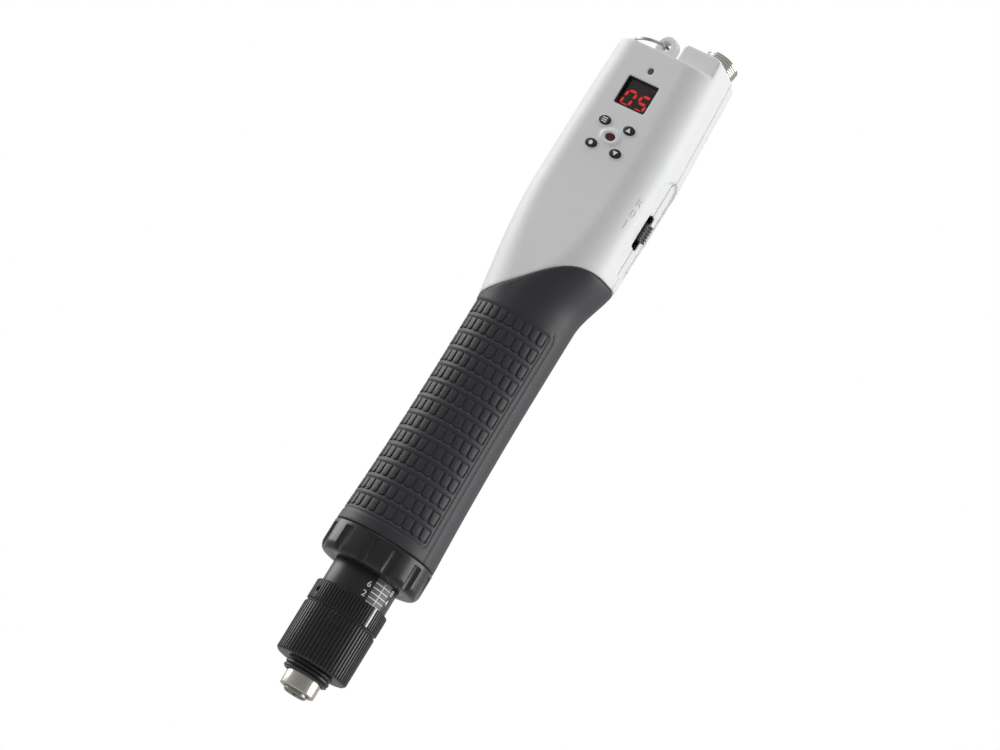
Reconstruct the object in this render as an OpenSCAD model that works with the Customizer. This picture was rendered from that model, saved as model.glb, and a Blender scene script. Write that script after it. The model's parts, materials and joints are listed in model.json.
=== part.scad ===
// Electric torque screwdriver with push start, planetary drive and an outside torque nut.
// Millimetres. +Z runs up the drive axis, the bit points to -Z, the display faces -Y and
// the direction switch is on +X. The origin is the centre of the hex socket's mouth.

/* [Bit holder] */
// Hex socket, across flats
bit_af = 6.35; // [5:0.05:6.5]
// Play of the hex socket, across flats
bit_play = 0.1; // [0.05:0.01:0.2]
// Depth of the hex socket
socket_depth = 15; // [12:0.5:18]
// Radius of the spindle's socket end
spindle_r = 4.3; // [4.2:0.05:4.7]
// Radius of the quick-change sleeve
sleeve_r = 6.5; // [6.2:0.05:6.65]
// Length of the quick-change sleeve
sleeve_len = 10; // [9:0.1:10.4]
// Height of the sleeve's lower edge over the spindle's mouth
sleeve_low = 1.3; // [1:0.1:1.5]
// Travel of the sleeve that frees the bit
sleeve_travel = 2.4; // [1.5:0.1:2.6]
// Travel of the spindle that starts the motor
push_travel = 1.5; // [1:0.1:1.8]

/* [Nose and torque nut] */
// Radius of the threaded nose tube
nose_r = 8.5; // [8.2:0.05:9]
// Bore radius of the nose tube
nose_bore_r = 6.9; // [6.85:0.05:7.1]
// Height of the nose tube's lower end
nose_low = 6.8; // [5:0.1:7.2]
// Radius of the torque nut over its knurl
nut_r = 13.6; // [13.2:0.1:15]
// Height of the torque nut's lower face
nut_low = 10.7; // [9:0.1:11.5]
// Length of the torque nut
nut_len = 19.5; // [18:0.5:24]
// Length of the index ring
index_len = 8; // [6:0.5:10]
// Travel of the torque nut over its whole scale
torque_travel = 7.2; // [5:0.2:8]
// Radius of the neck sleeve that carries the scale
neck_r = 12.2; // [11.8:0.1:12.6]
// Depth of the knurl
knurl_depth = 0.5; // [0.3:0.05:0.7]
// Number of ridges on the torque nut
nut_ridges = 60; // [40:2:72]
// Number of ridges on the index ring
index_ridges = 72; // [48:2:84]

/* [Grip nut] */
// Radius of the ribbed grip nut
grip_nut_r = 19.1; // [18.6:0.1:21]
// Length of the ribbed grip nut
grip_nut_len = 11.1; // [10:0.1:14]
// Number of finger grooves in the grip nut
grip_nut_grooves = 12; // [8:1:16]

/* [Handle] */
// Radius of the grip beside the grip nut
grip_low_r = 19; // [18.4:0.1:20.5]
// Radius of the grip at its waist
grip_waist_r = 17.2; // [17:0.1:18.5]
// Length of the grip up to where the head starts to flare
handle_len = 89.1; // [86:0.5:110]
// Thickness of the rubber grip
rubber_t = 2; // [1.6:0.1:2]
// Radius of the bore that holds the gears and the motor
bore_r = 13.7; // [13.5:0.1:13.8]

/* [Head] */
// Half width of the head
head_half_w = 21.9; // [20.5:0.1:24]
// Distance from the drive axis to the display face
head_front = 14.5; // [14:0.1:16.5]
// Distance from the drive axis to the back of the head
head_back = 18.2; // [17.4:0.1:20]
// Length of the head from the start of the flare to its top
head_len = 104; // [98:0.5:124]
// Wall of the head
head_wall = 2.2; // [2:0.1:2.6]
// Height of the connector boss over the head's top
boss_h = 7.6; // [6:0.1:9]
// Lean of the connector towards the back, degrees
connector_tilt = 16; // [8:1:18]
// Radius of the connector's threaded barrel
connector_r = 6.3; // [5.6:0.1:6.4]
// Length of the connector's barrel over the boss
connector_len = 5.6; // [4:0.1:8]
// Distance from the drive axis to the parting plane of the two housings
parting_y = 3; // [2:0.1:4]

/* [Controls] */
// Width of the display window
window_w = 12.7; // [11:0.1:14]
// Height of the display window
window_h = 10.6; // [9:0.1:11.5]
// Distance of the display's centre below the head's top
window_down = 17.3; // [16.5:0.1:20]
// Distance of the button group's centre below the head's top
buttons_down = 34.5; // [33:0.1:40]
// Half spacing of the buttons across the face
button_dx = 5.2; // [4.8:0.1:6.5]
// Half spacing of the buttons along the face
button_dz = 4.6; // [4.2:0.1:5.5]
// Travel of a button
button_travel = 0.4; // [0.2:0.05:0.45]
// Distance of the direction switch below the head's top
switch_down = 56; // [54:0.5:60]
// Travel of the direction switch each way from its middle
switch_travel = 2.8; // [2:0.1:3]

/* [Drive] */
// Gear module
gear_m = 0.5; // [0.48:0.01:0.51]
// Teeth of the motor pinion
sun_teeth = 12; // [12:6:12]
// Teeth of each planet gear
planet_teeth = 18; // [18:6:18]
// Face width of the gears
gear_w = 6; // [5:0.5:6.5]
// Length of the motor can
motor_len = 46; // [40:1:52]

/* [Hanger] */
// Mean radius of the hanger ring
hanger_r = 6.2; // [5.6:0.1:7]
// Radius of the hanger ring's wire
hanger_wire_r = 0.38; // [0.3:0.01:0.4]

/* [Hidden] */
$fn = 64;

running = 0.05;      // radial play of a running fit
slip = 0.1;          // play between pieces that slide or lie against each other
clear = 0.3;         // gap between curved pieces that must never touch
through = 1;         // how far a cut runs past the face it opens

// Heights along the drive axis, from the bit upwards
sleeve_top = sleeve_low + sleeve_len;
collar_low = sleeve_top + sleeve_travel + 0.3;
collar_h = 0.8;
bearing_low = collar_low + collar_h + push_travel + 0.6;
bearing_h = 3.2;
nose_web = 1.2;
seat_low = bearing_low + bearing_h + nose_web + 1.2;
seat_h = 2.2;
nut_top = nut_low + nut_len;
index_top = nut_top + index_len;
scale_rest = 2.3;
grip_nut_low = index_top + torque_travel + scale_rest;
grip_nut_top = grip_nut_low + grip_nut_len;
grip_nut_floor = 2.5;
flange_low = grip_nut_low + grip_nut_floor;
flange_h = 2.5;
clutch_low = flange_low + flange_h + 0.5;
clutch_h = 3;
ball_r = 1.5;
ball_gap = 2.4;
carrier_low = clutch_low + clutch_h + ball_gap;
carrier_h = 2.6;
gear_low = carrier_low + carrier_h + clear;
gear_top = gear_low + gear_w;
ring_low = carrier_low + 0.9;
motor_low = gear_top + 1.2;
plate_h = 2.5;
can_low = motor_low + plate_h;
can_top = can_low + motor_len;
cap_top = can_top + plate_h;
shaft_top = cap_top + 2.5;
rod_collar_low = shaft_top + 0.8;
rod_collar_h = 0.8;
start_spring_len = 7.4;
sensor_low = rod_collar_low + rod_collar_h + start_spring_len;
rod_top = sensor_low + 3.2;

// Heights of the outer form
handle_low = grip_nut_top + slip;
flare_z = handle_low + handle_len;
flare_len = 28;
head_top = flare_z + head_len;
widest_z = flare_z + 69;
boss_top = head_top + boss_h;
stack_r = bore_r - slip;

// ---------- outer form: a round grip that flares into a broad head ----------

corner_points = 8;
belly_len = 69;

function ease(t) = let (c = min(1, max(0, t))) c * c * (3 - 2 * c);
function ease_out(t) = let (c = min(1, max(0, t))) 1 - (1 - c) * (1 - c);
function above(z) = z - flare_z;
function grip_r(z) = grip_waist_r
    + (grip_low_r - grip_waist_r) * pow(max(0, 1 - (z - handle_low) / belly_len), 2);
function taper(z, amount) = amount * max(0, z - widest_z) / (head_top - widest_z);
function half_left(z) = grip_r(z) + (head_half_w - grip_waist_r) * ease_out((above(z) + 1) / 58)
    - taper(z, 0.7);
function half_right(z) = grip_r(z) + (head_half_w - grip_waist_r) * ease((above(z) - 7) / 21)
    - taper(z, 1.9);
function reach_front(z) = grip_r(z) - (grip_waist_r - head_front) * ease((above(z) - 2) / 60);
function reach_back(z) = grip_r(z) + (head_back - grip_waist_r) * ease((above(z) - 2) / 50);
function corner_front(z) = grip_r(z) - (grip_waist_r - 10.5) * ease((above(z) + 2) / 50);
function corner_back(z) = grip_r(z) - (grip_waist_r - 16) * ease((above(z) + 2) / 50);

function arc(cx, cy, r, from) =
    [for (i = [0 : corner_points - 1])
        let (a = from + 90 * i / (corner_points - 1)) [cx + r * cos(a), cy + r * sin(a)]];

// One cross-section of the outer form, drawn in by "inset"
function section(z, inset) =
    let (rf = corner_front(z) - inset, rb = corner_back(z) - inset,
         l = half_left(z) - inset, r = half_right(z) - inset,
         f = reach_front(z) - inset, b = reach_back(z) - inset)
    concat(arc(r - rb, b - rb, rb, 0), arc(rb - l, b - rb, rb, 90),
           arc(rf - l, rf - f, rf, 180), arc(r - rf, rf - f, rf, 270));

// Skin over the cross-sections at the heights "levels"
module form(levels, inset) {
    n = 4 * corner_points;
    rings = len(levels);
    points = [for (z = levels) for (p = section(z, inset)) [p[0], p[1], z]];
    sides = [for (i = [0 : rings - 2]) for (j = [0 : n - 1])
        let (a = i * n + j, b = i * n + (j + 1) % n) each [[a, a + n, b + n], [a, b + n, b]]];
    polyhedron(points, concat([[for (j = [0 : n - 1]) j]],
        sides, [[for (j = [n - 1 : -1 : 0]) (rings - 1) * n + j]]));
}

function levels_between(low, high, count) =
    [for (i = [0 : count]) low + (high - low) * i / count];

grip_levels = levels_between(handle_low, flare_z, 7);
flare_levels = levels_between(flare_z + 3.5, flare_z + flare_len, 7);
head_levels = levels_between(flare_z + flare_len + 9, head_top + boss_h + 4, 8);

// Recess round the direction switch, measured down from the head's top
scoop_depth = 1.2;
scoop_half_w = 8.3;
scoop_top = 36;
scoop_bottom = 73.5;
scoop_low_r = 6;
scoop_levels = levels_between(head_top - scoop_bottom - 4, head_top - scoop_top + 3, 5);

// Line between the rubber and the white housing, as seen from the front
wave_mid = flare_z + 13.7;
wave_rise = 11.7;
wave_left = -17.8;
wave_w = 39;
wave_gap = 0.15;
function wave_z(x) = wave_mid - wave_rise * cos(180 * min(1, max(0, (x - wave_left) / wave_w)));
wave_points = [for (x = [-30 : 2 : 30]) [x, wave_z(x)]];

// Everything below the wave line, moved up by "lift"
module below_wave(lift) {
    translate([0, 60, 0]) rotate([90, 0, 0]) linear_extrude(120)
        polygon(concat([[-30, 0]], [for (p = wave_points) [p[0], p[1] + lift]], [[30, 0]]));
}

module grip_sleeve() {
    color("#2f3033")
    difference() {
        intersection() {
            form(concat(grip_levels, flare_levels), 0);
            below_wave(-wave_gap);
        }
        intersection() {
            form(concat([handle_low - through], grip_levels, flare_levels,
                [flare_z + flare_len + through]), rubber_t - slip);
            below_wave(10);
        }
    }
}

// ---------- head ----------

corner_top_r = 7;
shoulder_r = 4.5;
boss_left = 3;
boss_left_r = 2;
boss_front = 9;

function fan(cx, cz, r, from, to) =
    [for (i = [0 : 6]) let (a = from + (to - from) * i / 6) [cx + r * cos(a), cz + r * sin(a)]];

// Front view of the head's top, without and with the boss
module head_outline(inset) {
    left = -half_left(head_top - corner_top_r) + inset;
    r = corner_top_r - inset;
    polygon(concat([[-30, 0]], [[-30, head_top - corner_top_r]],
        fan(left + r, head_top - inset - r, r, 180, 90), [[30, head_top - inset], [30, 0]]));
}

module boss_outline(inset) {
    right = half_right(boss_top - shoulder_r) - inset;
    r = shoulder_r - inset;
    polygon(concat([[boss_left + inset, head_top - 12]],
        fan(boss_left + inset + boss_left_r, boss_top - inset - boss_left_r, boss_left_r, 180, 90),
        fan(right - r, boss_top - inset - r, r, 90, 0), [[right + 5, boss_top - inset - r]],
        [[right + 5, head_top - 12]]));
}

// Half space under the boss's sloping top
module under_slope(inset) {
    translate([0, -boss_front, boss_top]) rotate([-connector_tilt, 0, 0])
        translate([-50, -50, -300 - inset]) cube([100, 150, 300]);
}

module head_envelope(inset) {
    translate([0, 60, 0]) rotate([90, 0, 0]) linear_extrude(120) head_outline(inset);
    intersection() {
        translate([0, 60, 0]) rotate([90, 0, 0])
            linear_extrude(60 + boss_front - inset) boss_outline(inset);
        under_slope(inset);
    }
}

// Outline of the switch recess, drawn in the side view
module scoop_window() {
    r = scoop_half_w;
    low = head_top - scoop_bottom;
    high = head_top - scoop_top;
    translate([10, parting_y, 0]) rotate([90, 0, 90]) linear_extrude(30)
        polygon(concat(fan(0, high - r, r, 0, 180), fan(scoop_low_r - r, low + scoop_low_r,
            scoop_low_r, 180, 270), fan(r - scoop_low_r, low + scoop_low_r, scoop_low_r, 270, 360)));
}

// Solid of both housings together, without their hollow
module head_solid() {
    core_levels = concat(grip_levels, flare_levels, [flare_z + flare_len + 9]);
    intersection() {
        form(core_levels, rubber_t);
        below_wave(1);
    }
    difference() {
        intersection() {
            form(concat(flare_levels, head_levels), 0);
            head_envelope(0);
        }
        below_wave(wave_gap);
        intersection() {
            scoop_window();
            difference() {
                translate([0, -30, 0]) cube([40, 60, head_top]);
                form(scoop_levels, scoop_depth);
            }
        }
    }
    translate([0, 0, grip_nut_low + grip_nut_floor]) cylinder(r = core_end_r, h = grip_nut_len);
}
core_end_r = 15.2;

// Hollow of the housings: a round bore for the drive and a room for the boards
module head_hollow() {
    cylinder(r = bore_r, h = flare_z + 5);
    intersection() {
        form(concat([flare_z + 1], flare_levels, [flare_z + flare_len + 2]), rubber_t + 1.8);
        translate([-40, -40, 0]) cube([80, 80, flare_z + flare_len + 1]);
    }
    intersection() {
        form(concat([flare_z + flare_len], head_levels), head_wall);
        head_envelope(head_wall);
    }
}

eye_x = -5.6;
eye_y = -3;
eye_up = 4.6;
eye_r = 3.8;
eye_hole_r = 1.6;
eye_t = 4;
eye_z = head_top + eye_up;

// Ear that carries the hanger ring
module hanger_eye() {
    translate([eye_x, eye_y + eye_t / 2, 0]) rotate([90, 0, 0]) difference() {
        union() {
            translate([0, eye_z, 0]) cylinder(r = eye_r, h = eye_t);
            translate([-eye_r, head_top - head_wall, 0]) cube([2 * eye_r, eye_up + head_wall, eye_t]);
        }
        translate([0, eye_z, -through]) cylinder(r = eye_hole_r, h = eye_t + 2 * through);
    }
}

// Closed ellipse with half axes a and b
function oval(a, b) = [for (i = [0 : 23]) [a * cos(15 * i), b * sin(15 * i)]];

// Places its children on the display face: child +Z points out of the face
module on_face(x, down) {
    translate([x, -reach_front(head_top - down), head_top - down]) rotate([90, 0, 0]) children();
}

button_a = 2.35;
button_b = 1.55;
bezel_a = 3.9;
bezel_b = 2.7;
led_a = 1.95;
led_b = 1.3;
led_down = 7.9;
led_r = 1.05;
button_places = [[-1, -1], [1, -1], [-1, 1], [1, 1]];

module face_cuts() {
    on_face(0, window_down) translate([-window_w / 2, -window_h / 2, -head_wall - through])
        cube([window_w, window_h, head_wall + 2 * through]);
    on_face(0, led_down) translate([0, 0, -head_wall - through])
        cylinder(r = led_r + slip, h = head_wall + 2 * through);
    on_face(0, buttons_down) translate([0, 0, -head_wall - through])
        linear_extrude(head_wall + 3 * through) polygon(oval(led_a + slip, led_b + slip));
    for (p = button_places)
        on_face(p[0] * button_dx, buttons_down + p[1] * button_dz)
            translate([0, 0, -head_wall - through]) linear_extrude(head_wall + 2 * through)
                polygon(oval(button_a + slip, button_b + slip));
}

switch_z = head_top - switch_down;
knob_w = 4;
knob_len = 6.7;
slot_play = 0.2;

module switch_slot() {
    run = knob_len + 2 * (switch_travel + slot_play);
    translate([knob_in - 5, parting_y - knob_w / 2 - slot_play, switch_z - run / 2])
        cube([knob_reach + 10, knob_w + 2 * slot_play, run]);
}

// Places its children at the connector: child +Z points along the leaning barrel
connector_x = head_half_w - 10.6;
connector_run = 12.8;
module at_connector() {
    translate([connector_x, -boss_front, boss_top]) rotate([-connector_tilt, 0, 0])
        translate([0, connector_run, 0]) children();
}
connector_body_r = connector_r - 0.3;
connector_nut_r = connector_body_r / cos(30) + 0.3;
connector_nut_h = 2;

screw_r = 1.3;
screw_head_r = 2.6;
screw_head_h = 1.8;
screw_x = head_half_w - 7.7;
screw_seat_y = 9.5;
screw_tip_y = -6;
screw_downs = [14, 70];
pillar_r = 3;

module at_screws() {
    for (side = [-1, 1], down = screw_downs)
        translate([side * screw_x, 0, head_top - down]) rotate([-90, 0, 0]) children();
}

// Pillars inside the housings that the screws pull together
module screw_pillars() {
    intersection() {
        at_screws() translate([0, 0, -head_front]) cylinder(r = pillar_r, h = head_front + head_back);
        form(concat([flare_z + flare_len], head_levels), head_wall / 2);
    }
}

// Posts that hold the circuit board off the display face
module board_posts() {
    for (x = [-post_x, post_x], z = [board_low + post_in, board_top - post_in])
        translate([x, board_front_y - slip / 2, z]) rotate([90, 0, 0])
            cylinder(r = post_r, h = -face_y - head_wall / 2 + board_front_y);
}

module screw_cuts() {
    at_screws() {
        translate([0, 0, screw_tip_y - 0.5]) cylinder(r = screw_r + slip, h = screw_seat_y + 7);
        translate([0, 0, screw_seat_y]) cylinder(r = screw_head_r + 2 * slip, h = 20);
    }
}

module housing_shell() {
    difference() {
        union() {
            difference() {
                head_solid();
                head_hollow();
            }
            screw_pillars();
            board_posts();
        }
        screw_cuts();
        switch_slot();
        at_connector() {
            translate([0, 0, -20]) cylinder(r = connector_body_r + slip, h = 30);
            translate([0, 0, -panel_t - connector_nut_h - clear])
                cylinder(r = connector_nut_r + slip, h = connector_nut_h + clear);
        }
    }
}

seam = 0.1;
module front_housing() {
    color("#ececea")
    difference() {
        union() {
            intersection() {
                housing_shell();
                translate([-50, -50, 0]) cube([100, 50 + parting_y - seam, 400]);
            }
            hanger_eye();
            on_face(0, buttons_down) translate([0, 0, -0.5]) linear_extrude(1.1)
                polygon(oval(bezel_a, bezel_b));
        }
        face_cuts();
    }
}

module rear_housing() {
    color("#ececea")
    intersection() {
        housing_shell();
        translate([-50, parting_y + seam, 0]) cube([100, 50, 400]);
    }
}

module housing_screws() {
    color("#2a2a2c")
    at_screws() {
        translate([0, 0, screw_tip_y]) cylinder(r = screw_r, h = screw_seat_y - screw_tip_y);
        translate([0, 0, screw_seat_y]) difference() {
            cylinder(r = screw_head_r, h = screw_head_h);
            for (turn = [0, 90]) rotate([0, 0, turn])
                translate([-1.6, -0.3, 0.8]) cube([3.2, 0.6, 2]);
        }
    }
}

// ---------- nose, neck and grip nut ----------

// Outline of a straight knurl: ridges with flat tops and V-shaped valleys
function knurl(r, count, depth) =
    [for (i = [0 : count - 1]) let (p = 360 / count)
        each [[r * cos(p * i), r * sin(p * i)],
              [r * cos(p * (i + 0.4)), r * sin(p * (i + 0.4))],
              [(r - depth) * cos(p * (i + 0.6)), (r - depth) * sin(p * (i + 0.6))],
              [(r - depth) * cos(p * (i + 0.8)), (r - depth) * sin(p * (i + 0.8))]]];

module knurled_body(r, count, low, high, chamfer) {
    intersection() {
        translate([0, 0, low]) linear_extrude(high - low) polygon(knurl(r, count, knurl_depth));
        rotate_extrude() polygon([[0, low], [r - chamfer, low], [r + 0.1, low + chamfer + 0.1],
            [r + 0.1, high - chamfer - 0.1], [r - chamfer, high], [0, high]]);
    }
}

ears = 3;
ear_w = 4;
ear_reach = 10.4;
nut_room_low = seat_low - running;
neck_bore_r = ear_reach + clear;
neck_low = nut_top + 1.3;

module nose_tube() {
    slot_h = seat_h + torque_travel + 2 * slip;
    color("#232326")
    difference() {
        rotate_extrude() polygon([[nose_bore_r, nose_low], [nose_r - 0.6, nose_low],
            [nose_r, nose_low + 0.6], [nose_r, flange_low], [stack_r, flange_low],
            [stack_r, flange_low + flange_h], [nose_bore_r, flange_low + flange_h],
            [nose_bore_r, bearing_low + bearing_h + nose_web],
            [nose_bore_r - 1.2, bearing_low + bearing_h + nose_web],
            [nose_bore_r - 1.2, bearing_low + bearing_h], [nose_bore_r, bearing_low + bearing_h]]);
        for (i = [0 : ears - 1]) rotate([0, 0, 360 * i / ears])
            translate([nose_bore_r - 2, -ear_w / 2 - slip, seat_low - slip])
                cube([5, ear_w + 2 * slip, slot_h]);
    }
}

module neck_sleeve() {
    color("#1f1f22")
    translate([0, 0, neck_low]) difference() {
        cylinder(r = neck_r, h = flange_low - neck_low);
        translate([0, 0, -through]) cylinder(r = neck_bore_r, h = 50);
    }
}

groove_r = 2.4;
groove_sink = 1.1;
rim_h = 1.6;
module grip_nut() {
    low = grip_nut_low;
    color("#232326")
    difference() {
        rotate_extrude() polygon(concat([[neck_r + slip, low]],
            [for (a = [-90 : 15 : 0]) [grip_nut_r - 2.1 + 2.1 * cos(a), low + 3 + 3 * sin(a)]],
            [[grip_nut_r, grip_nut_top - 0.3], [grip_nut_r - 0.3, grip_nut_top],
             [core_end_r + slip, grip_nut_top], [core_end_r + slip, flange_low],
             [neck_r + slip, flange_low]]));
        for (i = [0 : grip_nut_grooves - 1]) rotate([0, 0, 360 * (i + 0.5) / grip_nut_grooves])
            translate([grip_nut_r + groove_r - groove_sink, 0, low - through])
                cylinder(r = groove_r, h = grip_nut_len - rim_h + through);
    }
}

module torque_nut() {
    color("#232326")
    difference() {
        knurled_body(nut_r, nut_ridges, nut_low, nut_top, knurl_depth + 0.2);
        translate([0, 0, nut_low - through]) cylinder(r = nose_r + running, h = 50);
        translate([0, 0, nut_room_low]) cylinder(r = neck_r + slip, h = 50);
    }
}

index_relief = 0.5;
module index_ring() {
    color("#232326")
    difference() {
        union() {
            translate([0, 0, nut_top]) cylinder(r = nut_r - 0.6, h = index_relief);
            knurled_body(nut_r, index_ridges, nut_top + index_relief - 0.1, index_top, 0.4);
        }
        translate([0, 0, nut_top - through]) cylinder(r = neck_r + slip, h = 50);
        translate([0, 0, nut_top + index_len / 2]) rotate([0, 90, -120])
            cylinder(r = index_screw_r + slip / 2, h = 20);
    }
}

index_screw_r = 0.9;
module index_screw() {
    color("#3a3a3d")
    translate([0, 0, nut_top + index_len / 2]) rotate([0, 90, -120])
        translate([0, 0, neck_r + slip]) difference() {
            cylinder(r = index_screw_r, h = nut_r - neck_r - 0.7);
            translate([0, 0, 0.3]) cylinder(r = 0.45, h = 2, $fn = 6);
        }
}

// ---------- bit holder ----------

hex_r = (bit_af + bit_play) / 2 / cos(30);
spindle_neck_r = 3;
spindle_drive_r = 2.9;
socket_end = bearing_low + bearing_h + 0.6;
spindle_top = clutch_low + clutch_h - 0.6;
drive_low = clutch_low - push_travel - 0.4;
ball_z = 4.5;
bit_ball_r = 1.05;
bit_ball_x = 3.22;
collar_r = 5.4;

module spindle() {
    color("#b9b7b0")
    difference() {
        union() {
            rotate_extrude() polygon([[0, 0], [spindle_r - 0.4, 0], [spindle_r, 0.4],
                [spindle_r, socket_end], [spindle_neck_r, socket_end + 1],
                [spindle_neck_r, drive_low], [0, drive_low]]);
            translate([0, 0, drive_low - 0.5])
                cylinder(r = spindle_drive_r, h = spindle_top - drive_low + 0.5, $fn = 6);
        }
        translate([0, 0, -through]) cylinder(r = hex_r, h = socket_depth + through, $fn = 6);
        translate([0, 0, -0.01]) cylinder(r1 = hex_r + 0.1, r2 = hex_r - 0.35, h = 0.7);
        translate([1.5, 0, ball_z]) rotate([0, 90, 0]) cylinder(r = bit_ball_r + 0.05, h = 5);
    }
}

module bit_ball() {
    color("#d6d6d6") translate([bit_ball_x, 0, ball_z]) sphere(r = bit_ball_r, $fn = 32);
}

module sleeve_collar() {
    color("#a8a8a4")
    translate([0, 0, collar_low]) difference() {
        cylinder(r = collar_r, h = collar_h);
        translate([0, 0, -through]) cylinder(r = spindle_r + 0.01, h = 5);
    }
}

pocket_low = sleeve_low + 4.4;
pocket_r = 5.65;
ball_recess_h = 1.8;
module bit_sleeve() {
    color("#c9c4b8")
    rotate_extrude() polygon([[spindle_r + 0.9, sleeve_low], [sleeve_r - 0.3, sleeve_low],
        [sleeve_r, sleeve_low + 0.3], [sleeve_r, sleeve_top - 0.3], [sleeve_r - 0.3, sleeve_top],
        [pocket_r, sleeve_top], [pocket_r, pocket_low], [spindle_r + running, pocket_low],
        [spindle_r + running, sleeve_low + ball_recess_h + 0.5],
        [spindle_r + 0.9, sleeve_low + ball_recess_h]]);
}

// Coil spring from z0 to z1, with wire radius w on a mean radius r
module coil_spring(r, w, z0, z1, turns) {
    steps = 12;
    sides = 6;
    rings = turns * steps;
    rise = z1 - z0 - 2 * w;
    points = [for (i = [0 : rings]) for (k = [0 : sides - 1])
        let (a = 360 * i / steps, q = 360 * k / sides, d = r + w * cos(q))
            [d * cos(a), d * sin(a), z0 + w + rise * i / rings + w * sin(q)]];
    skin = [for (i = [0 : rings - 1]) for (k = [0 : sides - 1])
        let (a = i * sides + k, b = i * sides + (k + 1) % sides)
            each [[a, b + sides, a + sides], [a, b, b + sides]]];
    polyhedron(points, concat([[for (k = [sides - 1 : -1 : 0]) k]], skin,
        [[for (k = [0 : sides - 1]) rings * sides + k]]));
}

module sleeve_spring() {
    color("#9a9a98") coil_spring(spindle_r + 0.65, 0.3, pocket_low + 0.02, collar_low - 0.02, 5);
}

module spindle_bearing() {
    color("#b0b0b0")
    translate([0, 0, bearing_low]) difference() {
        cylinder(r = nose_bore_r - 0.02, h = bearing_h);
        translate([0, 0, -through]) cylinder(r = spindle_r + 0.03, h = 10);
    }
}

module spring_seat() {
    color("#8f8f8c")
    translate([0, 0, seat_low]) difference() {
        union() {
            cylinder(r = nose_bore_r - slip, h = seat_h);
            for (i = [0 : ears - 1]) rotate([0, 0, 360 * i / ears])
                translate([3, -ear_w / 2, slip]) cube([ear_reach - 3, ear_w, seat_h - 2 * slip]);
        }
        translate([0, 0, -through]) cylinder(r = spindle_r + clear, h = 10);
    }
}

module torque_spring() {
    color("#9a9a98") coil_spring(5.9, 0.6, seat_low + seat_h + 0.02, clutch_low - 0.02, 8);
}

// ---------- clutch and planetary drive ----------

clutch_r = 9.5;
balls = 6;
ball_circle_r = 7.4;
ball_centre_z = clutch_low + clutch_h + ball_gap / 2;
rod_r = 0.8;
rod_play = 0.2;

module at_balls() {
    for (i = [0 : balls - 1]) rotate([0, 0, 360 * i / balls])
        translate([ball_circle_r, 0, ball_centre_z]) children();
}

module clutch_plate() {
    color("#8f8f8c")
    difference() {
        translate([0, 0, clutch_low]) cylinder(r = clutch_r, h = clutch_h);
        translate([0, 0, clutch_low - through])
            cylinder(r = spindle_drive_r + 0.12, h = clutch_h + 2 * through, $fn = 6);
        at_balls() sphere(r = ball_r + 0.03, $fn = 32);
    }
}

module clutch_balls() {
    color("#d6d6d6") at_balls() sphere(r = ball_r, $fn = 32);
}

pressure_angle = 25;
gear_backlash = 0.1;
ring_teeth = sun_teeth + 2 * planet_teeth;
arm = gear_m * (sun_teeth + planet_teeth) / 2;
planets = 3;
addendum = 0.8 * gear_m;
dedendum = 1.1 * gear_m;
function pitch_r(teeth) = gear_m * teeth / 2;

function involute(phi) = tan(phi) * 180 / PI - phi;

// Outline of an involute gear; "thin" is taken off the tooth's thickness at the pitch circle
function gear_outline(teeth, tip_r, root_r, thin) =
    let (r = pitch_r(teeth), base = r * cos(pressure_angle), low = max(root_r, base),
         half = 90 / teeth - thin / 2 / r * 180 / PI + involute(pressure_angle), steps = 4)
    [for (i = [0 : teeth - 1])
        let (centre = 360 * i / teeth,
             flank = [for (k = [0 : steps]) let (q = low + (tip_r - low) * k / steps,
                 phi = acos(min(1, base / q))) [q, half - involute(phi)]])
        each concat(
            root_r < low - 0.001 ? [[root_r * cos(centre - flank[0][1]), root_r * sin(centre - flank[0][1])]] : [],
            [for (f = flank) [f[0] * cos(centre - f[1]), f[0] * sin(centre - f[1])]],
            [for (k = [steps : -1 : 0]) let (f = flank[k]) [f[0] * cos(centre + f[1]), f[0] * sin(centre + f[1])]],
            root_r < low - 0.001 ? [[root_r * cos(centre + flank[0][1]), root_r * sin(centre + flank[0][1])]] : [])];

// Turn of the planet at angle a, so that its teeth stand in the sun's gaps
function planet_turn(a) = a + 180 + (0.5 + a * sun_teeth / 360) * 360 / planet_teeth;
function planet_angle(i) = 90 + 360 * i / planets;
// Turn of the ring's gaps, so that the first planet's teeth stand in them
ring_turn = planet_angle(0) + (planet_turn(planet_angle(0)) - planet_angle(0)) * planet_teeth / ring_teeth;

pin_r = 1.2;
carrier_r = arm + pin_r + 1.7;

module motor_pinion() {
    color("#c2b280")
    difference() {
        translate([0, 0, gear_low]) linear_extrude(gear_w + 0.6)
            polygon(gear_outline(sun_teeth, pitch_r(sun_teeth) + addendum,
                pitch_r(sun_teeth) - dedendum, gear_backlash));
        translate([0, 0, gear_low - through]) cylinder(r = shaft_r + 0.01, h = 20);
    }
}

module planet_gear(i) {
    a = planet_angle(i);
    color("#c2b280")
    translate([arm * cos(a), arm * sin(a), gear_low + slip]) difference() {
        linear_extrude(gear_w - slip) rotate([0, 0, planet_turn(a)])
            polygon(gear_outline(planet_teeth, pitch_r(planet_teeth) + addendum,
                pitch_r(planet_teeth) - dedendum, gear_backlash));
        translate([0, 0, -through]) cylinder(r = pin_r + running, h = 20);
    }
}

module ring_gear() {
    color("#8f8f8c")
    difference() {
        translate([0, 0, ring_low]) cylinder(r = stack_r, h = motor_low - ring_low - slip);
        translate([0, 0, ring_low - through]) linear_extrude(20) rotate([0, 0, ring_turn])
            polygon(gear_outline(ring_teeth, pitch_r(ring_teeth) + dedendum,
                pitch_r(ring_teeth) - addendum, -gear_backlash));
    }
}

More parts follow.
